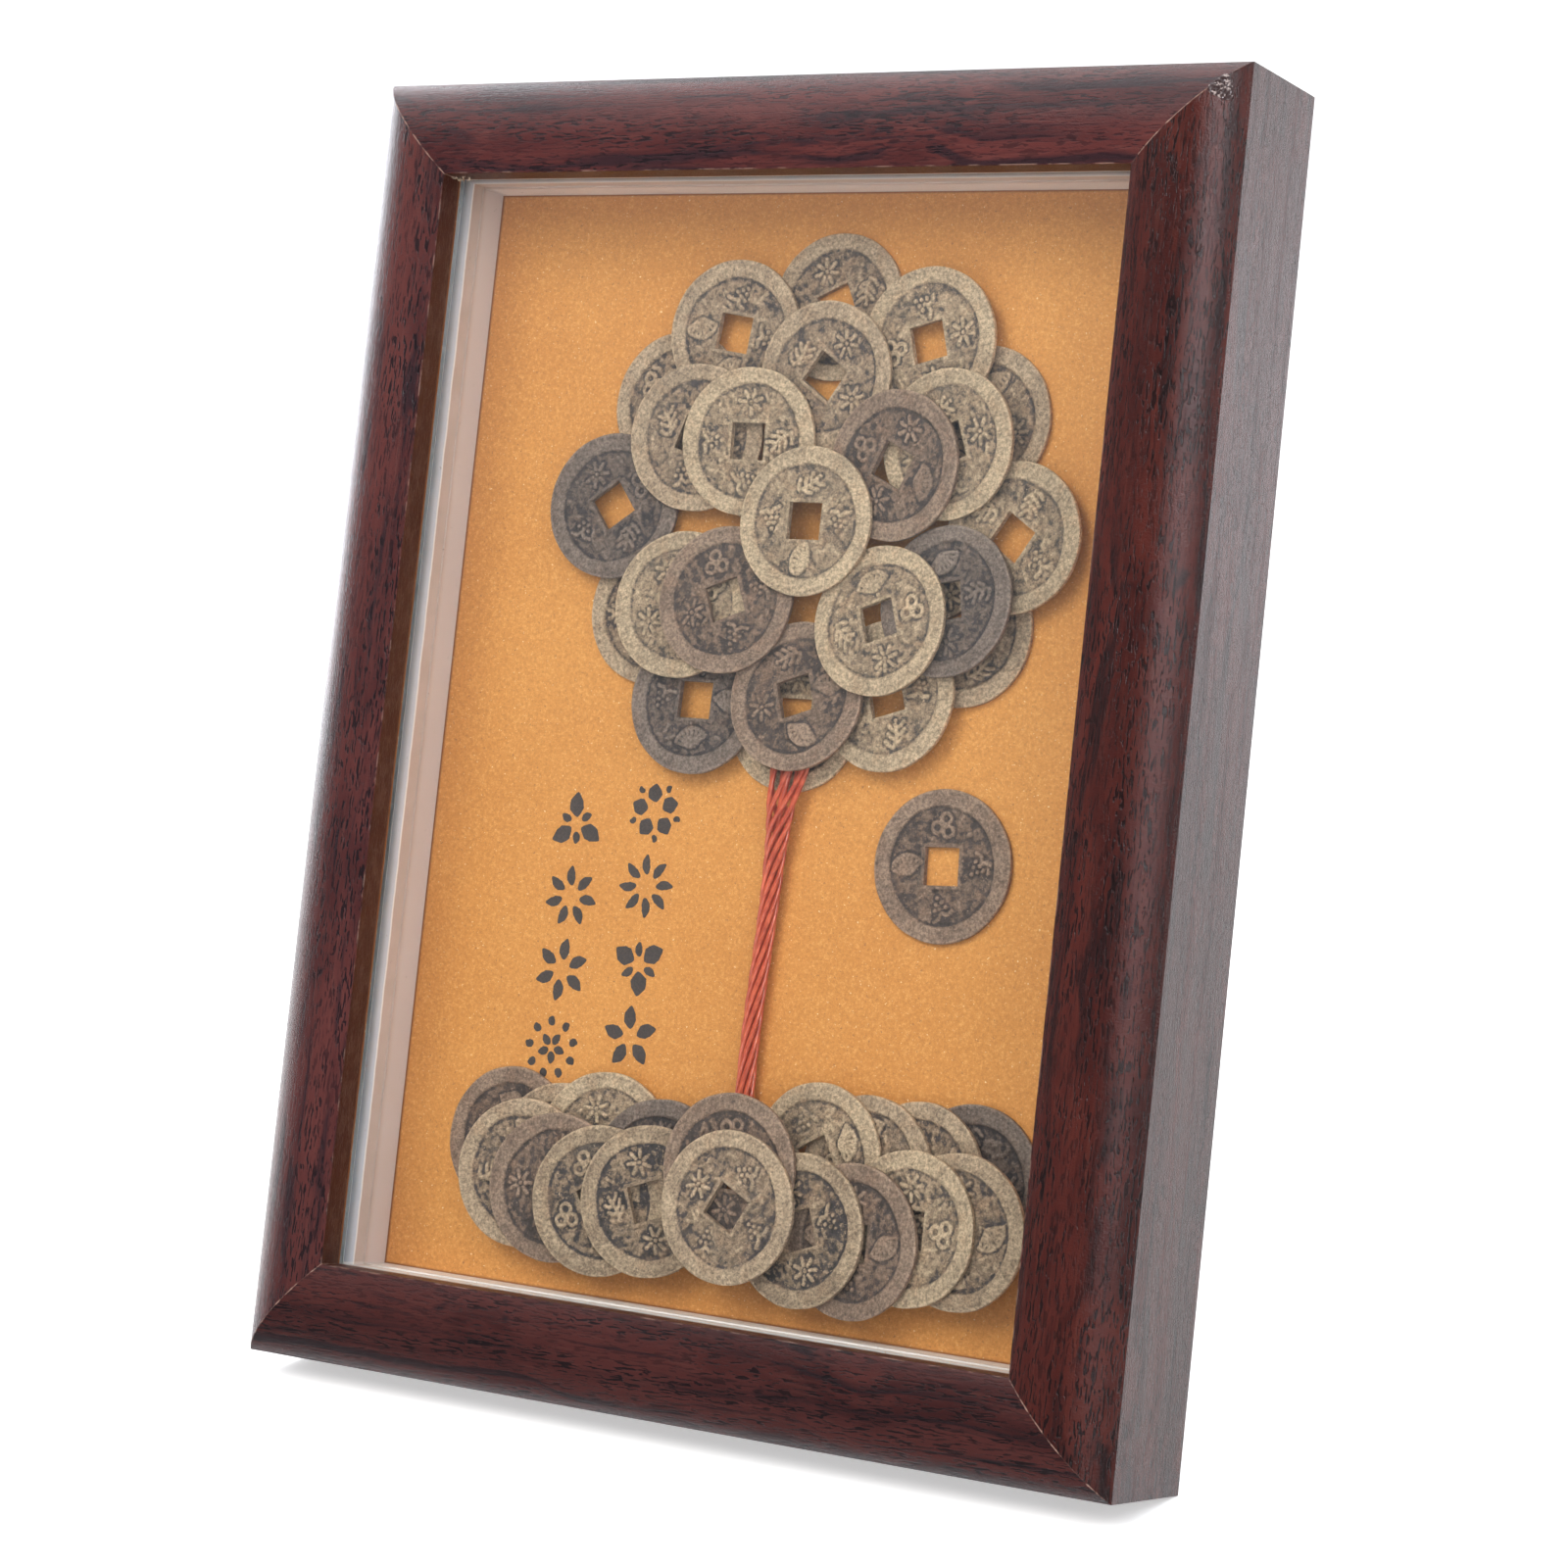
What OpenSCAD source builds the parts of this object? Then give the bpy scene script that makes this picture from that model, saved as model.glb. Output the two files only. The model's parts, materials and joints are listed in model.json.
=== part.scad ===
// Shadow-box picture frame that shows a money tree made of square-holed coins.
// The pieces are drawn in the frame's own axes: x to the right, y up the frame, z forward,
// with z = 0 at the front outer edge of the moulding. stand() then sets the frame on the table.

/* [Frame] */
// Outside width of the frame
frame_w = 152; // [130:1:180]
// Outside height of the frame
frame_h = 203; // [190:1:230]
// Depth of the flat outer side of the moulding
side_d = 22; // [21:0.5:26]
// Width of the moulding seen from the front
face_w = 15.5; // [14.5:0.5:17]
// Radius of the rounded front of the moulding
crown_r = 12.1; // [11.9:0.1:14]
// Distance of the highest line of the rounded front from the outer edge
crown_inset = 10.3; // [10:0.1:11]
// Width of the lip that holds the glass
lip_w = 3; // [2:0.25:4]
// Radius of the outer rear edges
rear_edge_r = 0.8; // [0.3:0.1:1.5]

/* [Layers behind the lip] */
// Thickness of the glass
glass_t = 2; // [1.5:0.1:3]
// Depth of the spacer strips between the glass and the picture
spacer_d = 10.6; // [10:0.1:11]
// Step between the thicker rear half and the thinner front half of a spacer strip
spacer_step = 0.2; // [0.1:0.05:0.4]
// Thickness of the picture sheet
sheet_t = 0.3; // [0.2:0.1:0.5]
// Thickness of the board that carries the sheet and the coins
mount_t = 3; // [2:0.5:3]
// Thickness of the lift-out back panel
panel_t = 3; // [2.5:0.5:3]
// Gap between a loose layer and the walls around it
layer_gap = 0.4; // [0.2:0.1:0.8]

/* [Coins] */
// Diameter of a coin
coin_d = 23; // [22:0.5:23]
// Thickness of a coin
coin_t = 1; // [0.8:0.1:1.2]
// Side of the square hole
coin_hole = 5.7; // [5:0.1:6.5]
// Width of the raised rim
coin_rim = 2.7; // [2:0.1:3]
// Width of the raised edge around the hole
coin_inner_rim = 0.8; // [0.5:0.1:1.2]
// Depth of the field below the rims
coin_field = 0.15; // [0.1:0.05:0.25]
// Lean of an overlapping coin in the base rows
row_lean = 5; // [4:0.5:6]

/* [Easel and back hardware] */
// Lean of the standing frame from upright
lean = 11.6; // [10:0.2:14]
// Angle of the open easel leg from the back panel
leg_open = 20; // [18:1:24]
// Height of the easel hinge above the bottom edge
hinge_h = 120; // [119:1:124]
// Thickness of the easel leg
leg_t = 2.5; // [2:0.5:3]
// Width of the leg at the hinge
leg_top_w = 30; // [28:1:36]
// Width of the leg at the foot
leg_foot_w = 44; // [36:1:50]
// Height of the hanging ring's hinge line above the bottom edge
ring_h = 173.5; // [168:0.5:176]
// Radius of the hanging ring, to the middle of its wire
ring_r = 9; // [8.5:0.5:10]
// Distance of a turn button's screw from the outer edge
button_inset = 6.3; // [6:0.1:7]
// Distance of a turn button's screw from the frame's mid height
button_y = 46; // [35:1:60]

/* [Hidden] */
CORNERS = ["upper_left", "upper_right", "lower_left", "lower_right"];
SIDE_X = [-1, 1, -1, 1];
SIDE_Y = [1, 1, -1, -1];

// Crown of the tree, in the order the coins are laid: x, y, lean, spin, tone.
// A leaning coin has its edge away from the crown's middle raised.
CROWN_MID = [5, 35];
CROWN = [
    [5, 68, 0, 25, "mid"],
    [32, 51, 0, 75, "mid"],
    [-22, 52.5, 0, 60, "mid"],
    [-22.5, 20, 0, 10, "mid"],
    [32.5, 19.5, 0, 30, "mid"],
    [5, 5, 0, 0, "light"],
    [40, 33.5, 3, -33, "light"],
    [-31, 36, 3, 37, "dark"],
    [-12, 63.5, 3, -8, "mid"],
    [22.5, 62.5, 3, 15, "light"],
    [-12, 6.5, 3, 0, "dark"],
    [21.5, 9, 3, 18, "light"],
    [5.5, 57, 5, -35, "mid"],
    [-16.5, 47, 5, -20, "mid"],
    [28, 47, 5, 20, "light"],
    [30.5, 23.5, 5, 10, "dark"],
    [-16, 21, 5, 30, "light"],
    [6.5, 8, 5, 20, "brown"],
    [-6.5, 46.5, 5, 0, "light"],
    [19.5, 43.5, 5, -25, "brown"],
    [-7.5, 22, 5, 23, "brown"],
    [20, 20, 5, 20, "light"],
    [5.5, 34.5, 0, 0, "light"]
];
// Single coin beside the trunk
LONE = [33, -15.5, 0, 3, "brown"];
// Heap at the foot of the tree: x, y, lean, spin, tone. Each row is laid from its ends inwards.
HEAP_MID = 6;
BACK_LEFT = [
    [-38.5, -64, 0, 0, "brown"], [-28, -65.5, row_lean, 0, "mid"],
    [-20, -63, row_lean, 20, "light"], [-9.5, -66, row_lean, 0, "dark"]
];
BACK_RIGHT = [
    [43, -61, 0, 0, "dark"], [35, -61.5, row_lean, 0, "mid"],
    [26.5, -61.5, row_lean, 0, "mid"], [18, -60.5, row_lean, 30, "light"]
];
FRONT_LEFT = [
    [-33, -68.5, row_lean, 0, "mid"], [-26.5, -70, row_lean, 0, "brown"],
    [-18, -71, row_lean, 30, "mid"], [-9, -70, row_lean, 20, "mid"]
];
FRONT_RIGHT = [
    [44, -68, row_lean, 0, "mid"], [36, -68.5, row_lean, 0, "light"],
    [27, -71.5, row_lean, 0, "brown"], [18, -71, row_lean, 20, "mid"]
];
BACK_MIDDLE = [[5.5, -63.5, 0, 0, "brown"]];
FRONT_MIDDLE = [[6.5, -69, 0, -28, "light"]];

// Trunk of twisted wire: x, y, height above the sheet, half width, half thickness
TRUNK = [
    [6.5, 2, 1.95, 3.4, 0.75],
    [5.8, -3, 2, 3.4, 0.8],
    [5.3, -8, 2.4, 2.6, 1.1],
    [4.9, -14, 2, 1.9, 1.4],
    [4.6, -22, 1.7, 1.6, 1.45],
    [4.2, -31, 1.6, 1.5, 1.45],
    [3.8, -40, 1.6, 1.5, 1.45],
    [3.7, -49, 1.6, 1.5, 1.45],
    [4, -58, 1.6, 1.5, 1.45]
];
TRUNK_SIDES = 10;
TRUNK_STEPS = 4;

// Layers, as distances in front of the rear face and heights on the z axis
crown_sink = sqrt(crown_r * crown_r - crown_inset * crown_inset);
rear_z = -side_d;
glass_z = -glass_t;
sheet_z = glass_z - spacer_d;
mount_z = sheet_z - sheet_t - mount_t;
panel_z = rear_z;
card_z = panel_z + panel_t;
card_t = mount_z - card_z;
rebate = face_w - lip_w;
open_w = frame_w - 2 * rebate;
open_h = frame_h - 2 * rebate;
sight_w = frame_w - 2 * face_w;
sight_h = frame_h - 2 * face_w;
COLOURS = [["light", "#9d9268"], ["mid", "#867a58"], ["brown", "#6f5f4c"], ["dark", "#55514a"]];

// Easel hinge, measured out of the rear face
pin_r = 0.8;
pin_out = 2.2;
pin_len = 34;
knuckle_r = 1.7;
knuckle_half = 6;
knuckle_gap = 0.3;
leaf_t = 0.8;
leaf_in = pin_out + pin_r;
leg_in = leaf_in - leg_t;
run_gap = 0.08;
stop_gap = 0.05;
// Length of the stop tab, so that its tip meets the fixed leaf at the open angle
stop_len = ((leaf_in - pin_out) * cos(leg_open) + pin_out - leaf_t - stop_gap) / sin(leg_open);
leaf_rivet_x = 10;
leaf_rivet_y = 10;
leg_rivet_x = 8;
leg_rivet_y = -13;
rivet_r = 1.25;
rivet_head_r = 2.2;
rivet_head_t = 0.8;
rivet_foot_t = 0.4;

// Hanging ring
strap_t = 0.7;
loop_r = 1.6;
loop_out = 1.9;
loop_half = 4;
ring_wire_r = 0.8;
strap_rivet_y = -13.5;

// Turn buttons
button_t = 1;
button_gap = 0.2;
button_r = 3.5;
button_reach = 10;
screw_r = 1.4;
screw_head_r = 2.8;
screw_head_t = 1.4;
screw_depth = 9;

hinge_y = hinge_h - frame_h / 2;
ring_y = ring_h - frame_h / 2;

// Standing pose: the lower rear edge and the foot of the leg rest on z = 0
drop = rear_edge_r * (sin(lean) + cos(lean) - 1);
front_y = -(side_d - crown_sink) * cos(lean) + crown_inset * sin(lean) - crown_r;
leg_tilt = leg_open - lean;
pin_y = pin_out * cos(lean) + hinge_h * sin(lean);
pin_z = hinge_h * cos(lean) - pin_out * sin(lean) - drop;
leg_out = leaf_in - pin_out;
leg_len = (pin_z + leg_out * sin(leg_tilt)) / cos(leg_tilt);
back_y = pin_y + leg_out * cos(leg_tilt) + leg_len * sin(leg_tilt);

// A leaning coin's middle plane rises by these slopes along x and y
function slope(c, dir) = tan(c[2]) * [cos(dir), sin(dir)];
function rise(c, dir, p) = slope(c, dir) * [p[0] - c[0], p[1] - c[1]];
function crown_dir(c) = atan2(c[1] - CROWN_MID[1], c[0] - CROWN_MID[0]);
function heap_dir(c) = c[0] < HEAP_MID ? 180 : 0;
function rim_points(c) = [for (a = [0:15:345]) [c[0] + coin_d / 2 * cos(a), c[1] + coin_d / 2 * sin(a)]];
function covers(c, p) = norm([p[0] - c[0], p[1] - c[1]]) <= coin_d / 2 + 0.1;
function shared(a, b) = norm([a[0] - b[0], a[1] - b[1]]) >= coin_d + 0.2 ? []
    : [for (p = concat(rim_points(a), rim_points(b))) if (covers(a, p) && covers(b, p)) p];
// Height of coin i when it rests on the sheet and on every coin laid before it
function lift(coins, dirs, i, done) = max(
    concat([coin_d / 2 * sin(coins[i][2]) + coin_t / 2],
        [for (j = [0:1:i - 1], p = shared(coins[i], coins[j]))
            done[j] + rise(coins[j], dirs[j], p) - rise(coins[i], dirs[i], p)
            + coin_t / cos(max(coins[i][2], coins[j][2])) + 0.05]));
function lifts(coins, dirs) = [
    for (i = 0, done = []; i <= len(coins);
        done = i < len(coins) ? concat(done, [lift(coins, dirs, i, done)]) : done, i = i + 1)
        if (i == len(coins)) each done];

CROWN_DIRS = [for (c = CROWN) crown_dir(c)];
CROWN_LIFTS = lifts(CROWN, CROWN_DIRS);
HEAP = concat(BACK_LEFT, BACK_RIGHT, FRONT_LEFT, FRONT_RIGHT, BACK_MIDDLE, FRONT_MIDDLE);
HEAP_DIRS = [for (c = HEAP) heap_dir(c)];
HEAP_LIFTS = lifts(HEAP, HEAP_DIRS);
HEAP_NODES = ["back_row_left", "back_row_right", "front_row_left", "front_row_right",
    "back_row_middle", "front_row_middle"];
// First and last coin of each heap node
HEAP_SPANS = [[0, 3], [4, 7], [8, 11], [12, 15], [16, 16], [17, 17]];

function crown_node(i) = str("crown_coin_", i < 9 ? "0" : "", i + 1);

// Sets the frame's own axes on the table, leaning back
module stand() {
    translate([0, -(front_y + back_y) / 2, -drop])
        rotate([-lean, 0, 0])
            translate([0, -side_d, frame_h / 2])
                rotate([90, 0, 0])
                    children();
}

// Draws on the rear face at height y, with +z out of the back
module on_back(y) {
    translate([0, y, rear_z]) mirror([0, 0, 1]) children();
}

// Section of the moulding: x is the distance in from the outer edge, y is forward
module moulding_section() {
    difference() {
        intersection() {
            translate([0, rear_z]) square([face_w, side_d + crown_r]);
            union() {
                translate([rear_edge_r, rear_z]) square([face_w - rear_edge_r, side_d]);
                translate([0, rear_z + rear_edge_r]) square([face_w, side_d - rear_edge_r]);
                translate([rear_edge_r, rear_z + rear_edge_r]) circle(r = rear_edge_r, $fn = 32);
                translate([crown_inset, -crown_sink]) circle(r = crown_r, $fn = 128);
            }
        }
        translate([rebate, rear_z - 1]) square([face_w, side_d + 1]);
    }
}

// One mitred length of moulding, with its outer edge on the x axis
module moulding(length) {
    intersection() {
        rotate([90, 0, 90])
            linear_extrude(length, center = true) moulding_section();
        translate([0, 0, rear_z - 1])
            linear_extrude(side_d + crown_r)
                polygon([[-length / 2, 0], [length / 2, 0],
                    [length / 2 - face_w, face_w], [face_w - length / 2, face_w]]);
    }
}

module rail_top() {
    color("#4a2422") translate([0, frame_h / 2, 0]) rotate([0, 0, 180]) moulding(frame_w);
}

module rail_bottom() {
    color("#4a2422") translate([0, -frame_h / 2, 0]) moulding(frame_w);
}

// Upright length of moulding on one side, with the pilot holes of its turn buttons
module stile(side) {
    color("#4a2422") difference() {
        translate([side * frame_w / 2, 0, 0]) rotate([0, 0, side * 90]) moulding(frame_h);
        for (y = [-button_y, button_y])
            translate([side * (frame_w / 2 - button_inset), y, rear_z - 1])
                cylinder(r = screw_r, h = screw_depth + 1, $fn = 24);
    }
}

// V-shaped nails driven across the mitres from behind
module corner_nails() {
    nail_t = 0.5;
    nail_leg = 4;
    nail_h = 7;
    inset = 7;
    color("silver") for (i = [0:3])
        translate([SIDE_X[i] * (frame_w / 2 - inset), SIDE_Y[i] * (frame_h / 2 - inset), rear_z])
            mirror([SIDE_X[i] > 0 ? 1 : 0, 0, 0]) mirror([0, SIDE_Y[i] > 0 ? 1 : 0, 0]) {
                translate([-nail_leg, 0, 0]) cube([nail_leg + nail_t, nail_t, nail_h]);
                translate([0, -nail_leg, 0]) cube([nail_t, nail_leg + nail_t, nail_h]);
            }
}

// Flat layer that fills the rebate from height z
module layer(z, thickness) {
    translate([-open_w / 2 + layer_gap, -open_h / 2 + layer_gap, z])
        cube([open_w - 2 * layer_gap, open_h - 2 * layer_gap, thickness]);
}

module glass_pane() {
    color("#cfe0e0", 0.3) layer(glass_z, glass_t);
}

// Spacer strip along x, with its picture side on the x axis and its body towards -y
module spacer(length) {
    color("#d9c9bd") translate([-length / 2, 0, 0]) {
        translate([0, -lip_w + layer_gap, sheet_z])
            cube([length, lip_w - layer_gap, spacer_d / 2]);
        translate([0, -lip_w + layer_gap, sheet_z + spacer_d / 2])
            cube([length, lip_w - layer_gap - spacer_step, spacer_d / 2]);
    }
}

module spacer_top() {
    translate([0, sight_h / 2, 0]) rotate([0, 0, 180]) spacer(sight_w);
}

module spacer_bottom() {
    translate([0, -sight_h / 2, 0]) spacer(sight_w);
}

module spacer_side(side) {
    translate([side * sight_w / 2, 0, 0]) rotate([0, 0, side * 90]) spacer(open_h - 2 * layer_gap);
}

module art_sheet() {
    color("#d08a45") layer(sheet_z - sheet_t, sheet_t);
}

module mount_board() {
    color("#8c6b4a") layer(mount_z, mount_t);
}

// Corrugated card that packs the board forward against the spacers.
// Pockets clear the rivets that come through the back panel.
module packing_card() {
    color("#b08d5f") difference() {
        layer(card_z, card_t);
        translate([0, hinge_y + leaf_rivet_y, card_z - 1])
            for (side = [-1, 1]) translate([side * leaf_rivet_x, 0, 0])
                cylinder(r = rivet_head_r + 0.5, h = 2, $fn = 32);
        translate([0, ring_y + strap_rivet_y, card_z - 1])
            cylinder(r = rivet_head_r + 0.5, h = 2, $fn = 32);
    }
}

module back_panel() {
    color("#3b332d") difference() {
        layer(panel_z, panel_t);
        for (side = [-1, 1])
            translate([side * leaf_rivet_x, hinge_y + leaf_rivet_y, panel_z - 1])
                cylinder(r = rivet_r, h = panel_t + 2, $fn = 24);
        translate([0, ring_y + strap_rivet_y, panel_z - 1])
            cylinder(r = rivet_r, h = panel_t + 2, $fn = 24);
    }
}

// Coin about its own middle, with the rims standing proud of the field on both faces
module coin_blank() {
    edge = coin_hole + 2 * coin_inner_rim;
    difference() {
        cylinder(d = coin_d, h = coin_t, center = true, $fn = 64);
        cube([coin_hole, coin_hole, 2 * coin_t], center = true);
        for (face = [0, 1]) mirror([0, 0, face])
            translate([0, 0, coin_t / 2 - coin_field])
                difference() {
                    cylinder(d = coin_d - 2 * coin_rim, h = coin_t, $fn = 64);
                    cube([edge, edge, 4 * coin_t], center = true);
                }
    }
}

// Coin laid at its height over the sheet and leaned towards dir
module laid_coin(c, dir, height) {
    color(COLOURS[search([c[4]], COLOURS)[0]][1])
        translate([c[0], c[1], sheet_z + height])
            rotate(a = c[2], v = [sin(dir), -cos(dir), 0])
                rotate([0, 0, c[3]])
                    coin_blank();
}

module crown_coin(i) {
    laid_coin(CROWN[i], CROWN_DIRS[i], CROWN_LIFTS[i]);
}

module lone_coin() {
    laid_coin(LONE, 0, coin_t / 2);
}

module heap_coins(span) {
    for (i = [span[0]:span[1]]) laid_coin(HEAP[i], HEAP_DIRS[i], HEAP_LIFTS[i]);
}

// Point t of the way along the trunk's stretch i, on a smooth curve through its points
function curve(p0, p1, p2, p3, t) =
    0.5 * (2 * p1 + (p2 - p0) * t + (2 * p0 - 5 * p1 + 4 * p2 - p3) * t * t
        + (3 * p1 - p0 - 3 * p2 + p3) * t * t * t);
function trunk_at(i, t) = curve(TRUNK[max(i - 1, 0)], TRUNK[i], TRUNK[i + 1],
    TRUNK[min(i + 2, len(TRUNK) - 1)], t);
TRUNK_RINGS = concat(
    [for (i = [0:len(TRUNK) - 2], k = [0:TRUNK_STEPS - 1]) trunk_at(i, k / TRUNK_STEPS)],
    [TRUNK[len(TRUNK) - 1]]);

// Bundle of wires as one closed tube, flat where it fans out under the crown
module wire_trunk() {
    n = TRUNK_SIDES;
    rings = len(TRUNK_RINGS);
    points = [for (r = TRUNK_RINGS, k = [0:n - 1])
        [r[0] + r[3] * cos(360 * k / n), r[1], sheet_z + r[2] + r[4] * sin(360 * k / n)]];
    walls = [for (i = [0:rings - 2], k = [0:n - 1])
        [i * n + k, i * n + (k + 1) % n, (i + 1) * n + (k + 1) % n, (i + 1) * n + k]];
    ends = [[for (k = [n - 1:-1:0]) k], [for (k = [0:n - 1]) (rings - 1) * n + k]];
    color("#c4472c") polyhedron(points = points, faces = concat(walls, ends), convexity = 4);
}

// Flat metal latch that swivels on its screw, drawn with its tip towards +x
module button_shape() {
    difference() {
        union() {
            cylinder(r = button_r, h = button_t, $fn = 48);
            translate([0, -button_r, 0]) cube([button_reach, 2 * button_r, button_t]);
            translate([button_reach, 0, 0]) cylinder(r = button_r, h = button_t, $fn = 48);
        }
        translate([0, 0, -1]) cylinder(r = screw_r + run_gap, h = button_t + 2, $fn = 24);
    }
}

// Places children at a turn button's screw, with +x towards the middle of the frame
module at_button(i) {
    on_back(SIDE_Y[i] * button_y)
        translate([SIDE_X[i] * (frame_w / 2 - button_inset), 0, 0])
            rotate([0, 0, SIDE_X[i] > 0 ? 180 : 0])
                children();
}

module turn_button(i) {
    color("#c9c4b8") at_button(i) translate([0, 0, button_gap]) button_shape();
}

module button_screws() {
    head_out = 2 * button_gap + button_t;
    color("#d8d4ca") for (i = [0:3]) at_button(i) difference() {
        union() {
            translate([0, 0, -screw_depth]) cylinder(r = screw_r, h = screw_depth + head_out, $fn = 24);
            translate([0, 0, head_out]) cylinder(r = screw_head_r, h = screw_head_t, $fn = 32);
        }
        for (a = [0, 90]) rotate([0, 0, a]) translate([-1.6, -0.3, head_out + screw_head_t - 0.7])
            cube([3.2, 0.6, 1]);
    }
}

// Rivet with its head's underside at z = 0 and its foot at z = -grip
module rivet(grip) {
    difference() {
        translate([0, 0, -grip]) cylinder(r = rivet_r, h = grip, $fn = 24);
        translate([0, 0, -grip - 1]) cylinder(r = rivet_r / 2, h = grip, $fn = 24);
    }
    cylinder(r = rivet_head_r, h = rivet_head_t, $fn = 32);
    translate([0, 0, -grip - rivet_foot_t]) difference() {
        cylinder(r = rivet_head_r, h = rivet_foot_t, $fn = 32);
        translate([0, 0, -1]) cylinder(r = rivet_r / 2, h = 3, $fn = 24);
    }
}

module hanger_strap() {
    color("#b9b4a6") on_back(ring_y) difference() {
        union() {
            translate([-loop_half, -18, 0]) cube([2 * loop_half, 18, strap_t]);
            translate([-loop_half, 0, loop_out]) rotate([0, 90, 0])
                cylinder(r = loop_r, h = 2 * loop_half, $fn = 40);
        }
        translate([-20, 0, loop_out]) rotate([0, 90, 0])
            cylinder(r = ring_wire_r + run_gap, h = 40, $fn = 24);
        translate([0, strap_rivet_y, -1]) cylinder(r = rivet_r, h = 3, $fn = 24);
    }
}

module hanger_rivet() {
    color("#cfcabc") on_back(ring_y + strap_rivet_y) translate([0, 0, strap_t]) rivet(strap_t + panel_t);
}

// D-shaped ring that hangs straight down from its bar
module hanger_ring() {
    color("#c2bdb0") on_back(ring_y) translate([0, 0, loop_out]) rotate([-lean, 0, 0]) {
        translate([-ring_r - ring_wire_r, 0, 0]) rotate([0, 90, 0])
            cylinder(r = ring_wire_r, h = 2 * (ring_r + ring_wire_r), $fn = 24);
        difference() {
            rotate([0, 0, 90]) rotate_extrude($fn = 64)
                translate([ring_r, 0]) circle(r = ring_wire_r - 0.05, $fn = 24);
            translate([-2 * ring_r, 0.1, -ring_r]) cube([4 * ring_r, 2 * ring_r, 2 * ring_r]);
        }
    }
}

// Barrel along x around the hinge pin, between two places on it
module knuckle(from, to) {
    translate([from, 0, pin_out]) rotate([0, 90, 0]) cylinder(r = knuckle_r, h = to - from, $fn = 40);
}

module hinge_fixed_leaf() {
    inner = knuckle_half + knuckle_gap;
    color("#b9b4a6") on_back(hinge_y) difference() {
        union() {
            translate([-pin_len / 2, 2.5, 0]) cube([pin_len, 14, leaf_t]);
            for (side = [0, 1]) mirror([side, 0, 0]) {
                translate([inner, 0, 0]) cube([pin_len / 2 - inner, 3, leaf_t]);
                knuckle(inner, pin_len / 2);
            }
        }
        translate([-pin_len, 0, pin_out]) rotate([0, 90, 0])
            cylinder(r = pin_r, h = 2 * pin_len, $fn = 24);
        for (side = [-1, 1]) translate([side * leaf_rivet_x, leaf_rivet_y, -1])
            cylinder(r = rivet_r, h = 3, $fn = 24);
    }
}

module hinge_pin() {
    color("#8f8b82") on_back(hinge_y)
        translate([-pin_len / 2 - 0.5, 0, pin_out]) rotate([0, 90, 0])
            cylinder(r = pin_r, h = pin_len + 1, $fn = 24);
}

module hinge_panel_rivets() {
    color("#cfcabc") on_back(hinge_y + leaf_rivet_y)
        for (side = [-1, 1]) translate([side * leaf_rivet_x, 0, leaf_t]) rivet(leaf_t + panel_t);
}

// Swings the leg's pieces, drawn folded flat against the back, to the open angle
module swung() {
    on_back(hinge_y)
        translate([0, 0, pin_out]) rotate([-leg_open, 0, 0]) translate([0, 0, -pin_out])
            children();
}

module hinge_moving_leaf() {
    color("#b9b4a6") swung() difference() {
        union() {
            knuckle(-knuckle_half, knuckle_half);
            translate([-11, -19, leaf_in]) cube([22, 16.5, leaf_t]);
            translate([-knuckle_half, -3, leaf_in]) cube([2 * knuckle_half, 3, leaf_t]);
            translate([-4, 0, leaf_in]) cube([8, stop_len, leaf_t]);
        }
        translate([-pin_len, 0, pin_out]) rotate([0, 90, 0])
            cylinder(r = pin_r + run_gap, h = 2 * pin_len, $fn = 24);
        for (side = [-1, 1]) translate([side * leg_rivet_x, leg_rivet_y, leaf_in - 1])
            cylinder(r = rivet_r, h = 3, $fn = 24);
    }
}

module hinge_leg_rivets() {
    color("#cfcabc") swung()
        for (side = [-1, 1]) translate([side * leg_rivet_x, leg_rivet_y, leaf_in + leaf_t])
            rivet(leaf_t + leg_t - rivet_foot_t);
}

// Tapered board, cut level at the table
module easel_leg() {
    top = -2.6;
    foot = -leg_len - 4;
    color("#3b332d") difference() {
        stand() swung() difference() {
            translate([0, 0, leg_in]) linear_extrude(leg_t)
                polygon([[-leg_top_w / 2, top], [leg_top_w / 2, top],
                    [leg_foot_w / 2, foot], [-leg_foot_w / 2, foot]]);
            for (side = [-1, 1]) translate([side * leg_rivet_x, leg_rivet_y, leg_in - 1]) {
                cylinder(r = rivet_r, h = leg_t + 2, $fn = 24);
                cylinder(r = rivet_head_r, h = rivet_foot_t + 1, $fn = 32);
            }
        }
        translate([-frame_w, -frame_w, -20]) cube([2 * frame_w, 2 * frame_w, 20]);
    }
}

stand() rail_top();
stand() rail_bottom();
stand() stile(-1);  // stile_left
stand() stile(1);  // stile_right
stand() corner_nails();
stand() glass_pane();
stand() spacer_top();
stand() spacer_bottom();
stand() spacer_side(-1);  // spacer_left
stand() spacer_side(1);  // spacer_right
stand() art_sheet();
stand() mount_board();
stand() packing_card();
stand() back_panel();
stand() wire_trunk();
stand() lone_coin();
for (i = [0:len(CROWN) - 1])
    stand() crown_coin(i);
for (i = [0:len(HEAP_NODES) - 1])
    stand() heap_coins(HEAP_SPANS[i]);
for (i = [0:3])
    stand() turn_button(i);
stand() button_screws();
stand() hanger_strap();
stand() hanger_rivet();
stand() hanger_ring();
stand() hinge_fixed_leaf();
stand() hinge_moving_leaf();
stand() hinge_pin();
stand() hinge_panel_rivets();
stand() hinge_leg_rivets();
easel_leg();
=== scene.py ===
"""Looks of the coin display frame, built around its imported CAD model."""

import json
import math
import random

import bpy
import numpy as np
from mathutils import Matrix, Vector
from mathutils.bvhtree import BVHTree


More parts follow.
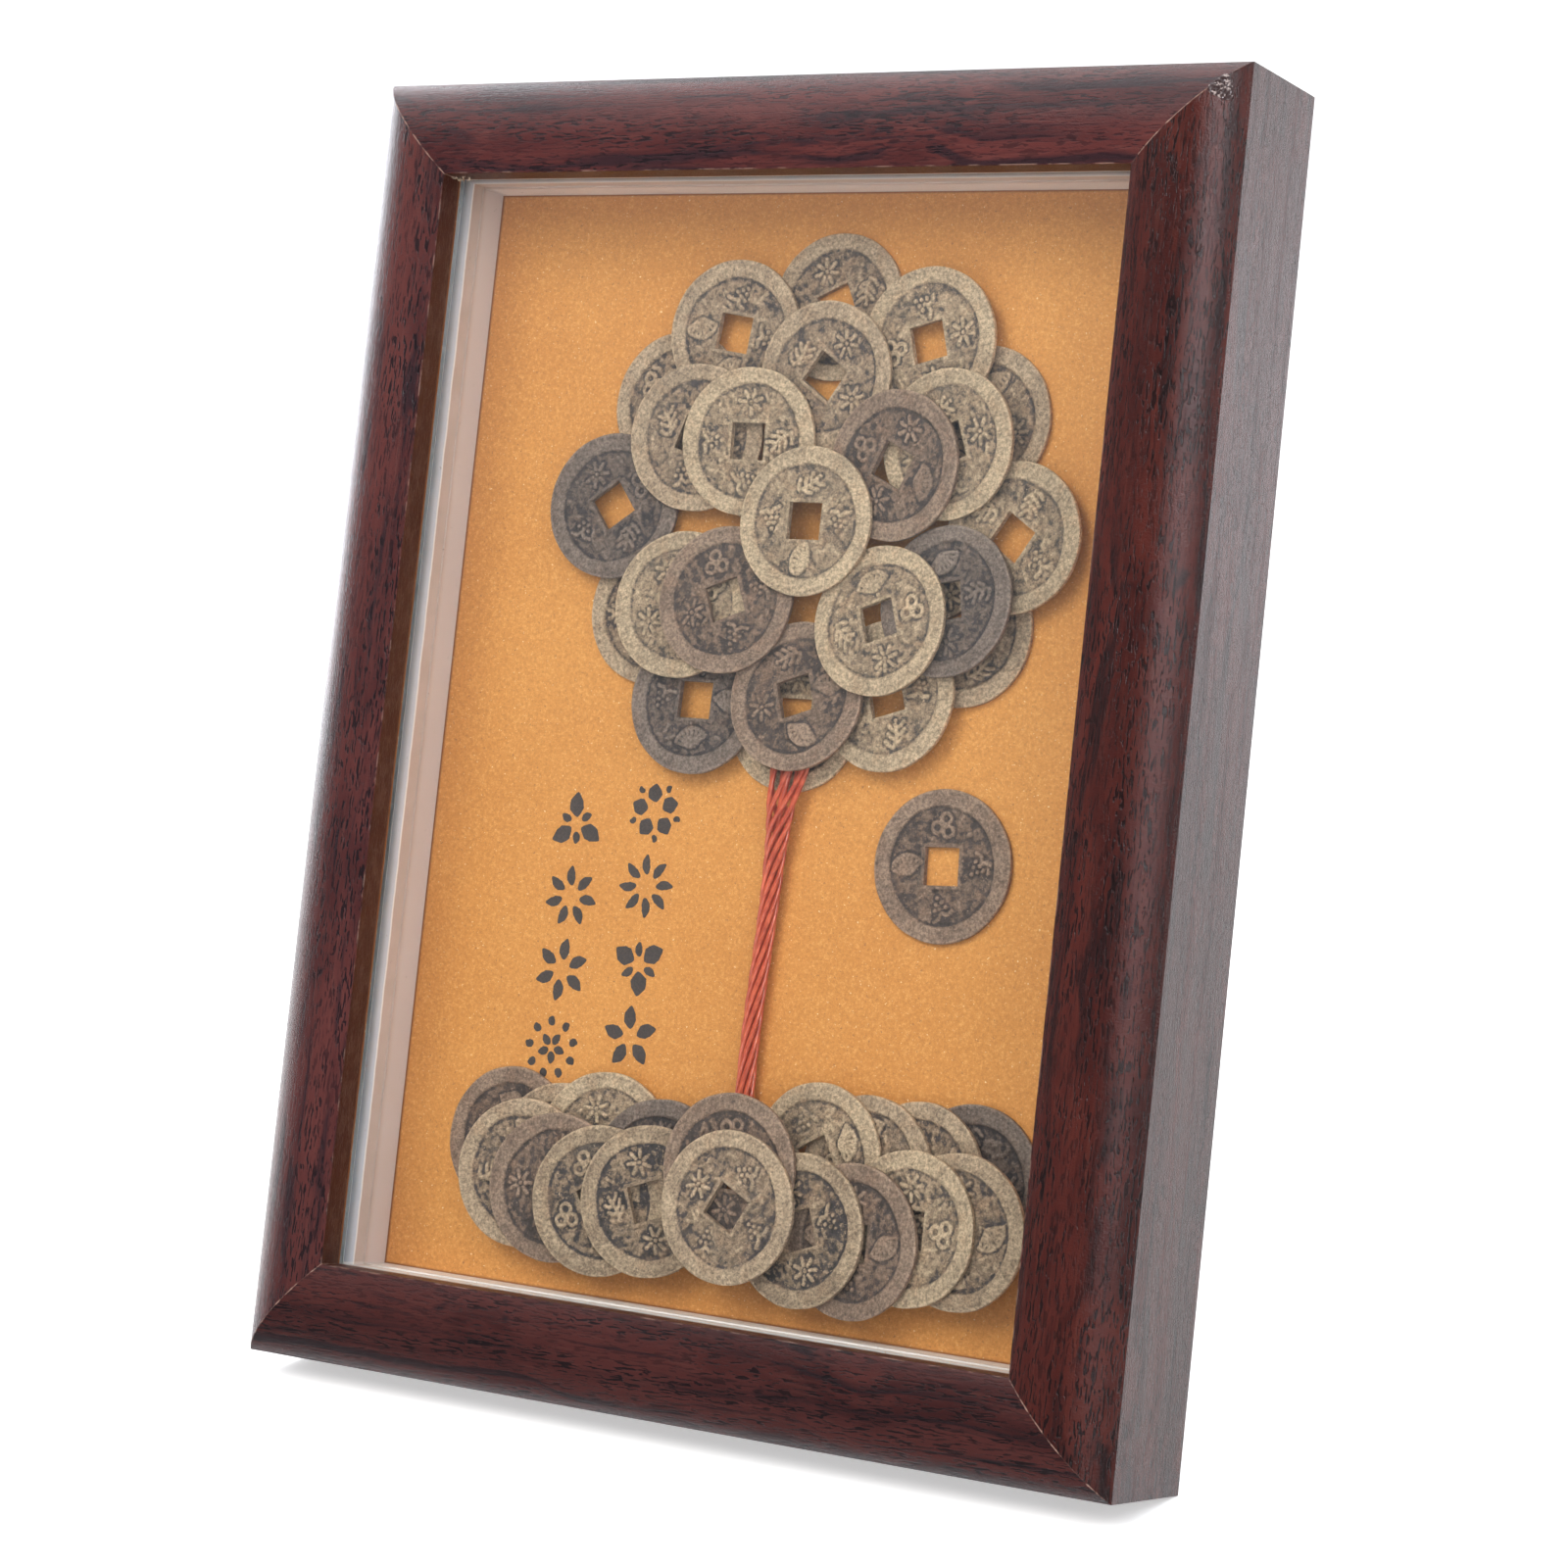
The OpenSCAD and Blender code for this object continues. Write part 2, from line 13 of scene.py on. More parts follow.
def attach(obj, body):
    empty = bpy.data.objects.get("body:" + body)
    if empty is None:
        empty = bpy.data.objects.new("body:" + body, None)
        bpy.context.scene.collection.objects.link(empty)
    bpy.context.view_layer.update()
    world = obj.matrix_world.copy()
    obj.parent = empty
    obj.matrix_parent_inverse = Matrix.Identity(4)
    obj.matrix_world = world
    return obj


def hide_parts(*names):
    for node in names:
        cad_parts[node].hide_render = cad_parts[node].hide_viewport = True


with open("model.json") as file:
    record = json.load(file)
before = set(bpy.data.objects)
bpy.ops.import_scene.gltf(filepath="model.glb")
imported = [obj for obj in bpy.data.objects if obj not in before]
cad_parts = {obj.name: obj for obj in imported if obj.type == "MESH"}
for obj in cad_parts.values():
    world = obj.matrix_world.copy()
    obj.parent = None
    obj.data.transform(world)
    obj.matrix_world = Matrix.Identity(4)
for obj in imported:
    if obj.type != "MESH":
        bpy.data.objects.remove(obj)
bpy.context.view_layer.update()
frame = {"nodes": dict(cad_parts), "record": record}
NODES = frame["nodes"]
SLOTS = {s["node"]: s["material_slot"] for s in frame["record"]["subparts"]}
MM = 0.001

# The frame's own axes, in mm: x to the right and y up from its middle,
# and z forward, with z = 0 at the moulding's front outer edge
SHEET_Z = -12.6
HALF_W = 76.0
HALF_H = 101.5
FACE_W = 15.5
OPEN_X = HALF_W - FACE_W
OPEN_Y = HALF_H - FACE_W


def points(node):
    """Vertices of a CAD node as an array, in metres."""
    mesh = NODES[node].data
    co = np.empty(3 * len(mesh.vertices), np.float32)
    mesh.vertices.foreach_get("co", co)
    return co.reshape(-1, 3).astype(float)


def frame_axes():
    """The frame's own axes as a matrix that takes mm in them to metres in the world."""
    p = points("art_sheet")
    mid = (p.min(0) + p.max(0)) / 2
    up = np.linalg.svd((p - mid)[:, 1:])[2][0]
    up = np.array([0, up[0], up[1]]) * math.copysign(1, up[1])
    out = np.cross([1, 0, 0], up)
    origin = mid + out * (((p - mid) @ out).max() - SHEET_Z * MM)
    m = Matrix.Identity(4)
    for row in range(3):
        m[row][0:4] = [[1, 0, 0][row] * MM, up[row] * MM, out[row] * MM, origin[row]]
    return m


AXES = frame_axes()
BACK = AXES.inverted()


def to_world(co):
    """Points in the frame's own mm to metres in the world."""
    m = np.array(AXES)
    return np.asarray(co, float) @ m[:3, :3].T + m[:3, 3]


# ---------------------------------------------------------------- node graphs
class Graph:
    """A material's node tree, with short ways to add to it."""

    def __init__(self, name):
        self.material = bpy.data.materials.new(name)
        self.material.use_nodes = True
        self.tree = self.material.node_tree
        self.tree.nodes.clear()

    def set(self, socket, value):
        if isinstance(value, bpy.types.NodeSocket):
            self.tree.links.new(value, socket)
        elif isinstance(value, tuple) and len(value) == 3 and socket.type == "RGBA":
            socket.default_value = (*value, 1)
        else:
            socket.default_value = value

    def add(self, kind, inputs=None, **settings):
        n = self.tree.nodes.new("ShaderNode" + kind)
        for key, value in settings.items():
            setattr(n, key, value)
        for key, value in (inputs or {}).items():
            self.set(n.inputs[key], value)
        return n

    def math(self, operation, *values):
        return self.add("Math", dict(enumerate(values)), operation=operation).outputs[0]

    def span(self, value, low, high, to_low=0.0, to_high=1.0):
        """value mapped smoothly from low..high to to_low..to_high."""
        n = self.add("MapRange", {0: value, 1: low, 2: high, 3: to_low, 4: to_high})
        n.interpolation_type = "SMOOTHSTEP"
        return n.outputs[0]

    def mix(self, factor, a, b, mode="MIX"):
        n = self.add("Mix", data_type="RGBA", blend_type=mode)
        self.set(n.inputs[0], factor)
        self.set(n.inputs[6], a)
        self.set(n.inputs[7], b)
        return n.outputs[2]

    def noise(self, vector, scale, detail=2.0, rough=0.5, **more):
        inputs = {"Vector": vector, "Scale": scale, "Detail": detail, "Roughness": rough, **more}
        return self.add("TexNoise", inputs).outputs[0]

    def scaled(self, vector, x, y, z):
        return self.add("VectorMath", {0: vector, 1: (x, y, z)}, operation="MULTIPLY").outputs[0]

    def own(self):
        """Place in the frame's own axes, in mm: the vector and its three parts."""
        place = self.add("TexCoord").outputs["Object"]
        parts = []
        for axis in range(3):
            row = BACK[axis]
            dot = self.add("VectorMath", {0: place, 1: tuple(row[0:3])}, operation="DOT_PRODUCT")
            parts.append(self.math("ADD", dot.outputs["Value"], row[3]))
        n = self.add("CombineXYZ", dict(enumerate(parts)))
        return n.outputs[0], parts

    def bump(self, height, strength, distance=0.0002):
        return self.add("Bump", {"Height": height, "Strength": strength, "Distance": distance}).outputs[0]

    def finish(self, shader=None, **inputs):
        """Ends in a Principled shader with these inputs, or in the shader given."""
        if shader is None:
            inputs = {k.replace("_", " "): v for k, v in inputs.items()}
            shader = self.add("BsdfPrincipled", inputs).outputs[0]
        out = self.add("OutputMaterial")
        self.tree.links.new(shader, out.inputs[0])
        return self.material


def wood(name, along, shade_tint):
    """Dark walnut foil with its grain along the frame's x (0) or y (1), tinted by three factors that paint in
    each member's light and shade.
    """
    g = Graph(name)
    place, (x, y, z) = g.own()

    def tone(r, gr, b):
        return (r * shade_tint[0], gr * shade_tint[1], b * shade_tint[2])

    def drawn(across, ahead):
        f = [across] * 3
        f[along] = ahead
        return g.scaled(place, *f)

    # The grain wanders slowly, and its pores waver a little
    sway = g.math("MULTIPLY", g.math("SUBTRACT", g.noise(place, 0.030, 2), 0.5), 2.6)
    waver = g.math("MULTIPLY", g.math("SUBTRACT", g.noise(drawn(0.9, 0.5), 1.0, 2), 0.5), 1.5)

    def bent(across, ahead, extra):
        return g.add("VectorMath", {0: drawn(across, ahead), 1: extra}, operation="ADD").outputs[0]

    drift = g.noise(bent(0.16, 0.010, sway), 1.0, 3, 0.55)
    band = g.noise(bent(0.42, 0.020, sway), 1.0, 4, 0.62, Distortion=0.6)
    streak = g.noise(bent(1.9, 0.085, sway), 1.0, 4, 0.65)
    dash = g.noise(bent(3.0, 0.42, waver), 1.0, 1, 0.5)
    crowd = g.span(g.noise(bent(0.26, 0.030, sway), 1.0, 3), 0.36, 0.60, 0.45, 1.0)
    pore = g.math("MULTIPLY", g.span(dash, 0.525, 0.60), crowd)
    base = g.mix(g.span(drift, 0.34, 0.66), tone(0.050, 0.0120, 0.0115), tone(0.098, 0.0240, 0.0200))
    base = g.mix(g.span(streak, 0.50, 0.72, 0, 0.40), base, tone(0.135, 0.043, 0.033))
    base = g.mix(g.span(band, 0.50, 0.66, 0, 0.85), base, tone(0.021, 0.0105, 0.0130))
    base = g.mix(g.math("MULTIPLY", pore, 0.88), base, tone(0.0095, 0.0055, 0.0070))
    # The lip's inner wall is redder, and shows an orange edge where it meets the glass
    inset_x = g.math("SUBTRACT", HALF_W, g.math("ABSOLUTE", x))
    inset_y = g.math("SUBTRACT", HALF_H, g.math("ABSOLUTE", y))
    inset = g.math("MINIMUM", inset_x, inset_y)
    below = g.span(z, 4.6, 4.9, 1, 0)
    wall = g.math("MULTIPLY", g.span(inset, FACE_W - 0.06, FACE_W - 0.02), below)
    base = g.mix(g.math("MULTIPLY", wall, 0.95), base, (0.046, 0.0070, 0.0022))
    orange_edge = g.math("MULTIPLY", wall, g.span(z, 0.15, 0.60, 1, 0))
    base = g.mix(g.math("MULTIPLY", orange_edge, 0.6), base, (0.34, 0.125, 0.035))
    # Worn hairlines along the inner arris and where the mitred ends meet
    rub = g.span(g.noise(drawn(0.6, 0.30), 1.0, 4, 0.7), 0.48, 0.62)
    from_arris = g.math("ABSOLUTE", g.math("SUBTRACT", inset, FACE_W - 0.10))
    arris = g.math("MULTIPLY", g.span(from_arris, 0.03, 0.13, 1, 0), rub)
    from_mitre = g.math("ABSOLUTE", g.math("SUBTRACT", inset_x, inset_y))
    jag = g.math("MULTIPLY", g.math("SUBTRACT", g.noise(place, 1.3, 3, 0.7), 0.5), 0.5)
    nick = g.span(g.noise(place, 0.40, 4, 0.7), 0.42, 0.58, 0.1, 1)
    on_face = g.math("MULTIPLY", nick, g.span(z, 0.5, 1.5))
    line = g.math("MULTIPLY", g.span(g.math("ADD", from_mitre, jag), 0.02, 0.16, 1, 0), on_face)
    pale = g.math("MAXIMUM", g.math("MULTIPLY", arris, 0.45), g.math("MULTIPLY", line, 0.9))
    base = g.mix(pale, base, (0.30, 0.185, 0.145))
    # The frame's outer sides have duller patches, and the lip's wall is duller than the face
    flank = g.span(inset, 0.1, 0.8, 1, 0)
    patch = g.noise(bent(0.55, 0.022, sway), 1.0, 4, 0.7)
    patchy = g.math("MULTIPLY", flank, g.span(patch, 0.42, 0.68, 0, 0.14))
    pebble = g.noise(place, 3.0, 3, 0.65)
    height = g.math("ADD", g.math("MULTIPLY", pebble, 0.8), g.math("MULTIPLY", pore, -0.5))
    duller = g.math("MAXIMUM", g.math("MULTIPLY", wall, 0.2), patchy)
    return g.finish(
        Base_Color=base,
        Roughness=g.math("ADD", g.span(pebble, 0.3, 0.7, 0.15, 0.25), duller),
        Normal=g.bump(height, 0.60, 0.00017),
        Specular_IOR_Level=0.36,
    )


def glass():
    """Clear glass that lets the lamps through to what is behind it."""
    g = Graph("clear_glass")
    body = g.add("BsdfPrincipled", {"Base Color": (0.93, 0.97, 0.96), "Roughness": 0.0, "IOR": 1.5,
                                    "Transmission Weight": 1.0})
    clear = g.add("BsdfTransparent", {"Color": (0.95, 0.98, 0.97)})
    shadow = g.add("LightPath").outputs["Is Shadow Ray"]
    return g.finish(g.add("MixShader", {0: shadow, 1: body.outputs[0], 2: clear.outputs[0]}).outputs[0])


def spacer():
    """Glossy strip, from the front: a white edge painted as light, a cool grey band painted darker towards
    the lip as shade, a painted white highlight line, then a tan tone painted as the lip's shadow and a
    lighter cream tone by the sheet.
    """
    g = Graph("spacer_strip")
    place, (x, y, z) = g.own()
    mottle = g.noise(place, 0.25, 3)
    fine = g.noise(place, 3.0, 3, 0.7)
    waver = g.math("ADD", z, g.math("MULTIPLY", g.math("SUBTRACT", mottle, 0.5), 0.35))
    tone = g.mix(g.span(mottle, 0.3, 0.7), (0.67, 0.555, 0.51), (0.73, 0.60, 0.56))
    # Painted shade and light: the front half keeps the tan tone as the lip's shadow, the rear half by the
    # sheet is painted a lighter cream
    tone = g.mix(g.span(waver, -8.6, -7.3, 1, 0), tone, (0.90, 0.79, 0.76))
    # Painted shade: the cool grey band behind the glass darkens towards the lip
    lit_and_shaded_band = g.mix(g.span(waver, -4.5, -2.1), (0.66, 0.74, 0.86), (0.215, 0.27, 0.34))
    # Painted light: the front face against the glass lies in shade and is painted white
    lit_and_shaded_band = g.mix(g.span(z, -2.06, -2.02), lit_and_shaded_band, (0.95, 0.97, 1.0))
    tone = g.mix(g.span(waver, -4.75, -4.55), tone, lit_and_shaded_band)
    # Painted highlight: a white line along the front corner, behind the grey band
    line = g.span(g.math("ABSOLUTE", g.math("ADD", waver, 4.68)), 0.10, 0.28, 1, 0)
    tone = g.mix(line, tone, (0.97, 0.97, 0.99))
    # Painted light and shade: the bottom strip, facing up to the lamps, is painted paler, and the left one is
    # painted darker as shade behind the white line
    tone = g.mix(g.span(y, -OPEN_Y + 0.1, -OPEN_Y + 0.3, 0.45, 0), tone, (0.97, 0.93, 0.91))
    left = g.math("MULTIPLY", g.span(x, -OPEN_X + 0.5, -OPEN_X + 1.5, 1, 0), g.span(waver, -5.0, -4.7, 1, 0))
    tone = g.mix(left, tone, (0.86, 0.85, 0.84), "MULTIPLY")
    left_rear_shade = g.math("MULTIPLY", left, g.span(waver, -8.6, -7.3, 1, 0))
    tone = g.mix(left_rear_shade, tone, (0.87, 0.87, 0.88), "MULTIPLY")
    dirt = g.span(g.noise(place, 1.1, 3, 0.7), 0.69, 0.73)
    tone = g.mix(g.math("MULTIPLY", dirt, 0.6), tone, (0.16, 0.10, 0.07))
    return g.finish(
        Base_Color=tone,
        Roughness=g.span(mottle, 0.3, 0.7, 0.30, 0.42),
        Normal=g.bump(fine, 0.05),
        Specular_IOR_Level=0.4,
    )


def gold_paper():
    """Golden satin sheet with a very fine metallic speckle, with painted shade towards its top, right and
    edges.
    """
    g = Graph("gold_paper")
    place, (x, y, _) = g.own()
    speck = g.noise(place, 2.1, 3, 0.8)
    glint = g.span(g.noise(place, 1.9, 2, 0.75), 0.68, 0.72)
    fleck = g.span(g.noise(g.scaled(place, 1.0, 1.0, 5.0), 1.6, 2, 0.75), 0.295, 0.33, 1, 0)
    cloud = g.noise(place, 0.03, 2)
    tone = g.mix(g.span(cloud, 0.3, 0.7), (0.665, 0.262, 0.062), (0.715, 0.295, 0.073))
    tone = g.mix(g.span(speck, 0.36, 0.50, 0.54, 0), tone, (0.50, 0.195, 0.048))
    tone = g.mix(g.span(speck, 0.52, 0.66, 0, 0.56), tone, (0.90, 0.47, 0.160))
    tone = g.mix(g.math("MULTIPLY", fleck, 0.6), tone, (0.27, 0.115, 0.055))
    tone = g.mix(g.math("MULTIPLY", glint, 0.9), tone, (1.0, 0.80, 0.50))
    # Painted shade: the sheet is darkened towards its top and right, where the frame shades it
    top = g.span(y, 45.0, 92.0)
    side = g.span(x, 40.0, 62.0)
    tone = g.mix(g.math("MULTIPLY", g.math("MAXIMUM", top, side), 0.08), tone, (0.44, 0.150, 0.070))
    # Painted shade: a dark line along the sheet's edges, where it meets the spacers
    edge_shade_x = g.span(g.math("ABSOLUTE", x), OPEN_X - 0.6, OPEN_X - 0.1)
    edge_shade_y = g.span(g.math("ABSOLUTE", y), OPEN_Y - 0.5, OPEN_Y)
    tone = g.mix(g.math("MULTIPLY", g.math("MAXIMUM", edge_shade_x, edge_shade_y), 0.8), tone, (0.16, 0.035, 0.012))
    return g.finish(
        Base_Color=tone,
        Roughness=g.span(speck, 0.3, 0.7, 0.42, 0.56),
        Metallic=0.15,
        Normal=g.bump(speck, 0.10, 0.00006),
    )


# Linear colours of the worn high parts and of the patina in the field, and how far the field is worn
COIN_TONES = {
    "coin_light": ((0.520, 0.372, 0.246), (0.084, 0.063, 0.058), 0.26),
    "coin_mid": ((0.470, 0.330, 0.222), (0.070, 0.053, 0.053), 0.20),
    "coin_brown": ((0.330, 0.218, 0.158), (0.066, 0.047, 0.043), 0.08),
    "coin_dark": ((0.235, 0.172, 0.142), (0.048, 0.038, 0.040), 0.12),
    "coin_two_tone": ((0.465, 0.329, 0.219), (0.052, 0.041, 0.043), 0.06),
}


def coin_metal(name):
    """Worn antique brass: bright where the rim and marks stand up, dark patina in the field, and a painted
    highlight round the outer edge.
    """
    high, low, wear = COIN_TONES[name]
    g = Graph(name)
    own = g.add("TexCoord").outputs["Object"]
    shift = g.add("ObjectInfo").outputs["Random"]
    moved = g.add("CombineXYZ", {0: g.math("MULTIPLY", shift, 90), 1: shift}).outputs[0]
    in_mm = g.scaled(own, 1 / MM, 1 / MM, 1 / MM)
    place = g.add("VectorMath", {0: in_mm, 1: moved}, operation="ADD").outputs[0]
    # The attribute carries the coin's worn brightness, with its painted edge highlight and painted shade line
    up = g.add("Attribute", attribute_name="wear_and_edge_light").outputs["Fac"]
    grit = g.noise(place, 2.2, 5, 0.8)
    coarse = g.noise(place, 0.62, 5, 0.75)
    cloud = g.noise(place, 0.17, 3, 0.6)
    pit = g.span(g.noise(place, 2.7, 2, 0.6), 0.60, 0.67)
    spark = g.span(g.noise(g.scaled(place, 1.0, 1.0, 2.0), 3.3, 2, 0.7), 0.66, 0.72)
    fine = g.math("MULTIPLY", g.math("SUBTRACT", grit, 0.5), 1.5)
    rough = g.math("ADD", fine, g.math("MULTIPLY", g.math("SUBTRACT", coarse, 0.5), 1.3))
    worn = g.math("ADD", g.math("ADD", up, rough), wear)
    tone = g.mix(g.span(worn, 0.20, 0.50), low, (0.64 * high[0], 0.60 * high[1], 0.60 * high[2]))
    tone = g.mix(g.span(worn, 0.48, 1.20), tone, tuple(1.15 * v for v in high))
    mean = tuple(0.5 * (a + b) for a, b in zip(high, low))
    tone = g.mix(g.span(cloud, 0.48, 0.70, 0, 0.40), tone, mean)
    warm = g.span(g.noise(place, 0.30, 3, 0.6), 0.52, 0.68, 0, 0.35)
    tone = g.mix(warm, tone, (high[0] * 0.95, high[1] * 0.80, high[2] * 0.72))
    tone = g.mix(g.math("MULTIPLY", pit, 0.40), tone, tuple(0.45 * v for v in low))
    polish = g.math("MULTIPLY", g.span(up, 0.85, 1.05), g.span(grit, 0.50, 0.66))
    tone = g.mix(g.math("MULTIPLY", polish, 0.55), tone, tuple(min(1, 1.5 * v) for v in high))
    tone = g.mix(g.math("MULTIPLY", spark, 0.65), tone, tuple(min(1, 2.0 * v) for v in high))
    # Grains and fine scratches all over, which a soft light picks out
    grain = g.span(g.noise(place, 1.8, 4, 0.8), 0.36, 0.64, 0.64, 1.38)
    tone = g.mix(1.0, tone, grain, "MULTIPLY")
    score = g.span(g.noise(g.scaled(place, 0.5, 3.2, 1.0), 1.0, 3, 0.7), 0.60, 0.68)
    tone = g.mix(g.math("MULTIPLY", score, 0.35), tone, tuple(0.6 * v for v in low))
    return g.finish(
        Base_Color=tone,
        Metallic=0.20,
        Roughness=g.span(grit, 0.3, 0.7, 0.38, 0.62),
        Normal=g.bump(g.math("ADD", grit, coarse), 1.0, 0.00020),
    )


def red_lacquer():
    g = Graph("red_lacquer")
    place, _ = g.own()
    tone = g.mix(g.span(g.noise(place, 0.6, 3), 0.3, 0.7), (0.46, 0.050, 0.018), (0.66, 0.115, 0.050))
    return g.finish(Base_Color=tone, Roughness=0.34, Coat_Weight=0.6, Coat_Roughness=0.14,
                    Normal=g.bump(g.noise(place, 3.0, 2), 0.05))


def ink():
    g = Graph("brush_ink")
    place, _ = g.own()
    dry = g.span(g.noise(place, 2.4, 3), 0.35, 0.75)
    tone = g.mix(dry, (0.052, 0.040, 0.040), (0.080, 0.058, 0.052))
    return g.finish(Base_Color=tone, Roughness=0.7)


def steel(name, tone, rough, spangle=0.0):
    """Plated sheet steel: fine rolling lines, dull spots, scratches and, on zinc, faint crystal patches."""
    g = Graph(name)
    place, _ = g.own()
    rolled = g.noise(g.scaled(place, 9.0, 0.6, 4.0), 1.0, 3)
    spot = g.span(g.noise(place, 0.55, 4, 0.65), 0.48, 0.68)
    scratch = g.span(g.noise(g.scaled(place, 0.5, 7.0, 4.0), 1.0, 2), 0.66, 0.72)
    patch = g.add("TexVoronoi", {"Vector": place, "Scale": 0.55, "Randomness": 1.0}).outputs["Color"]
    shade = g.span(g.add("SeparateColor", {0: patch}).outputs[0], 0.0, 1.0, 1.0 - spangle, 1.0)
    colour = g.mix(g.span(rolled, 0.3, 0.7), tuple(0.72 * v for v in tone), tone)
    colour = g.mix(g.math("SUBTRACT", 1.0, shade), colour, (0.02, 0.02, 0.02))
    colour = g.mix(g.math("MULTIPLY", spot, 0.5), colour, tuple(0.40 * v for v in tone))
    colour = g.mix(g.math("MULTIPLY", scratch, 0.35), colour, tuple(min(1, 1.5 * v) for v in tone))
    dull = g.math("ADD", g.span(spot, 0.0, 1.0, rough, rough + 0.18), g.math("MULTIPLY", rolled, 0.08))
    return g.finish(Base_Color=colour, Metallic=0.9, Roughness=dull,
                    Normal=g.bump(g.math("ADD", rolled, scratch), 0.10, 0.00005))


def board(name, tone, deep):
    """Pressed board with a fibrous face."""
    g = Graph(name)
    place, _ = g.own()
    fibre = g.noise(place, 1.4, 5, 0.7)
    weave = g.noise(place, 6.0, 2, 0.6)
    cloud = g.noise(place, 0.05, 3)
    colour = g.mix(g.span(fibre, 0.3, 0.7), deep, tone)
    colour = g.mix(g.span(cloud, 0.4, 0.7, 0, 0.3), colour, deep)
    return g.finish(Base_Color=colour, Roughness=0.78,
                    Normal=g.bump(g.math("ADD", fibre, g.math("MULTIPLY", weave, 0.5)), 0.3, 0.0001))


def corrugated():
    """Kraft card with its flutes showing as faint ridges."""
    g = Graph("packing_card")
    place, (x, _, _) = g.own()
    flute = g.math("SINE", g.math("MULTIPLY", x, 1.6))
    fibre = g.noise(g.scaled(place, 0.4, 3.0, 3.0), 1.0, 4, 0.6)
    colour = g.mix(g.span(fibre, 0.3, 0.7), (0.30, 0.185, 0.095), (0.42, 0.27, 0.145))
    colour = g.mix(g.span(flute, -1.0, 1.0, 0, 0.25), colour, (0.18, 0.10, 0.05))
    return g.finish(Base_Color=colour, Roughness=0.85, Normal=g.bump(flute, 0.2, 0.0003))


MATERIALS = {
    "glass": glass(),
    "spacer": spacer(),
    "gold_sheet": gold_paper(),
    "mount_board": board("mount_board", (0.40, 0.29, 0.18), (0.30, 0.21, 0.13)),
    "packing_card": corrugated(),
    "back_panel": board("black_hardboard", (0.030, 0.026, 0.024), (0.012, 0.010, 0.0095)),
    "zinc_steel": steel("zinc_steel", (0.40, 0.41, 0.41), 0.30, 0.35),
    "nail_steel": steel("nail_steel", (0.42, 0.41, 0.40), 0.30),
    "brassed_steel": steel("brassed_steel", (0.50, 0.35, 0.14), 0.26),
    "red_wire": red_lacquer(),
}
# Each member's tint is painted light and shade for how much light falls on it: the bottom rail and the right
# stile are painted darker, the right stile also redder
WOOD = {
    "rail_top": wood("walnut_top", 0, (0.92, 0.92, 1.0)),
    "rail_bottom": wood("walnut_bottom", 0, (0.56, 0.58, 0.62)),
    "stile_left": wood("walnut_left", 1, (0.78, 0.84, 0.92)),
    "stile_right": wood("walnut_right", 1, (0.64, 0.50, 0.44)),
}
COINS = {name: coin_metal(name) for name in COIN_TONES}
INK = ink()

for name, node in NODES.items():
    slot = SLOTS[name]
    if slot == "moulding":
        material = WOOD[name]
    elif slot in COINS:
        material = COINS[slot]
    else:
        material = MATERIALS[slot]
    node.data.materials.clear()
    node.data.materials.append(material)


# ---------------------------------------------------------------- meshes
def add_mesh(name, co, faces, material, rounded=True, wear_and_edge_light=None):
    """A new object in the scene; relief is its brightness at each point, for the material."""
    mesh = bpy.data.meshes.new(name)
    mesh.from_pydata([tuple(p) for p in co], [], [tuple(f) for f in faces])
    mesh.materials.append(material)
    if wear_and_edge_light is not None:
        layer = mesh.attributes.new("wear_and_edge_light", "FLOAT", "POINT")
        layer.data.foreach_set("value", np.asarray(wear_and_edge_light, np.float32))
    if rounded:
        mesh.polygons.foreach_set("use_smooth", [True] * len(mesh.polygons))
    mesh.update()
    ob = bpy.data.objects.new(name, mesh)
    bpy.context.scene.collection.objects.link(ob)
    return ob


def sharpen(ob, angle):
    """Edges steeper than the angle, in degrees, stay sharp."""
    ob.data.set_sharp_from_angle(angle=math.radians(angle))


# ---------------------------------------------------------------- coins
def ramp(low, high, v):
    """0 below low, 1 above high, and a smooth rise between."""
    t = np.clip((v - low) / (high - low), 0, 1)
    return t * t * (3 - 2 * t)


def segment_distance(x, y, a, b):
    """Distance of points x, y from the stroke a to b."""
    ab = b - a
    t = np.clip(((x - a[0]) * ab[0] + (y - a[1]) * ab[1]) / (ab @ ab + 1e-9), 0, 1)
    return np.hypot(x - a[0] - t * ab[0], y - a[1] - t * ab[1])


def joined(path):
    """The strokes between a path's points."""
    return list(zip(path, path[1:]))


def stud(u, v):
    """A round dot."""
    return [((u, v), (u + 0.08, v))]


def sprig(rng):
    """A bent stem with leaves on alternate sides and a bud."""
    bend = rng.uniform(0.5, 0.9)
    stem = [(bend * math.cos(v / 1.6), v) for v in np.linspace(-2.0, 1.5, 7)]
    strokes = joined(stem)
    for k, (u, v) in enumerate(stem[:-1]):
        side = 1 if k % 2 else -1
        strokes += joined([(u, v), (u + 0.8 * side, v + 0.35), (u + 1.35 * side, v + 1.0)])
    return strokes + stud(stem[-1][0], 2.1)


def rosette(rng):
    """A stud with seven petals round it."""
    turn = rng.random()
    strokes = stud(0, 0)
    for k in range(7):
        a = 2 * math.pi * (k + turn) / 7
        strokes += joined([(r * math.cos(a), r * math.sin(a)) for r in (0.85, 1.95)])
    return strokes


def shell(rng):
    """A scallop shell: a round edge and the ribs that fan out to it."""
    r, foot = 2.9, -1.3
    edge = [(r * math.cos(a), r * math.sin(a) + foot) for a in np.linspace(0.45, 2.69, 8)]
    strokes = joined(edge)
    for end in edge:
        strokes.append(((0.12 * end[0], foot), end))
    return strokes


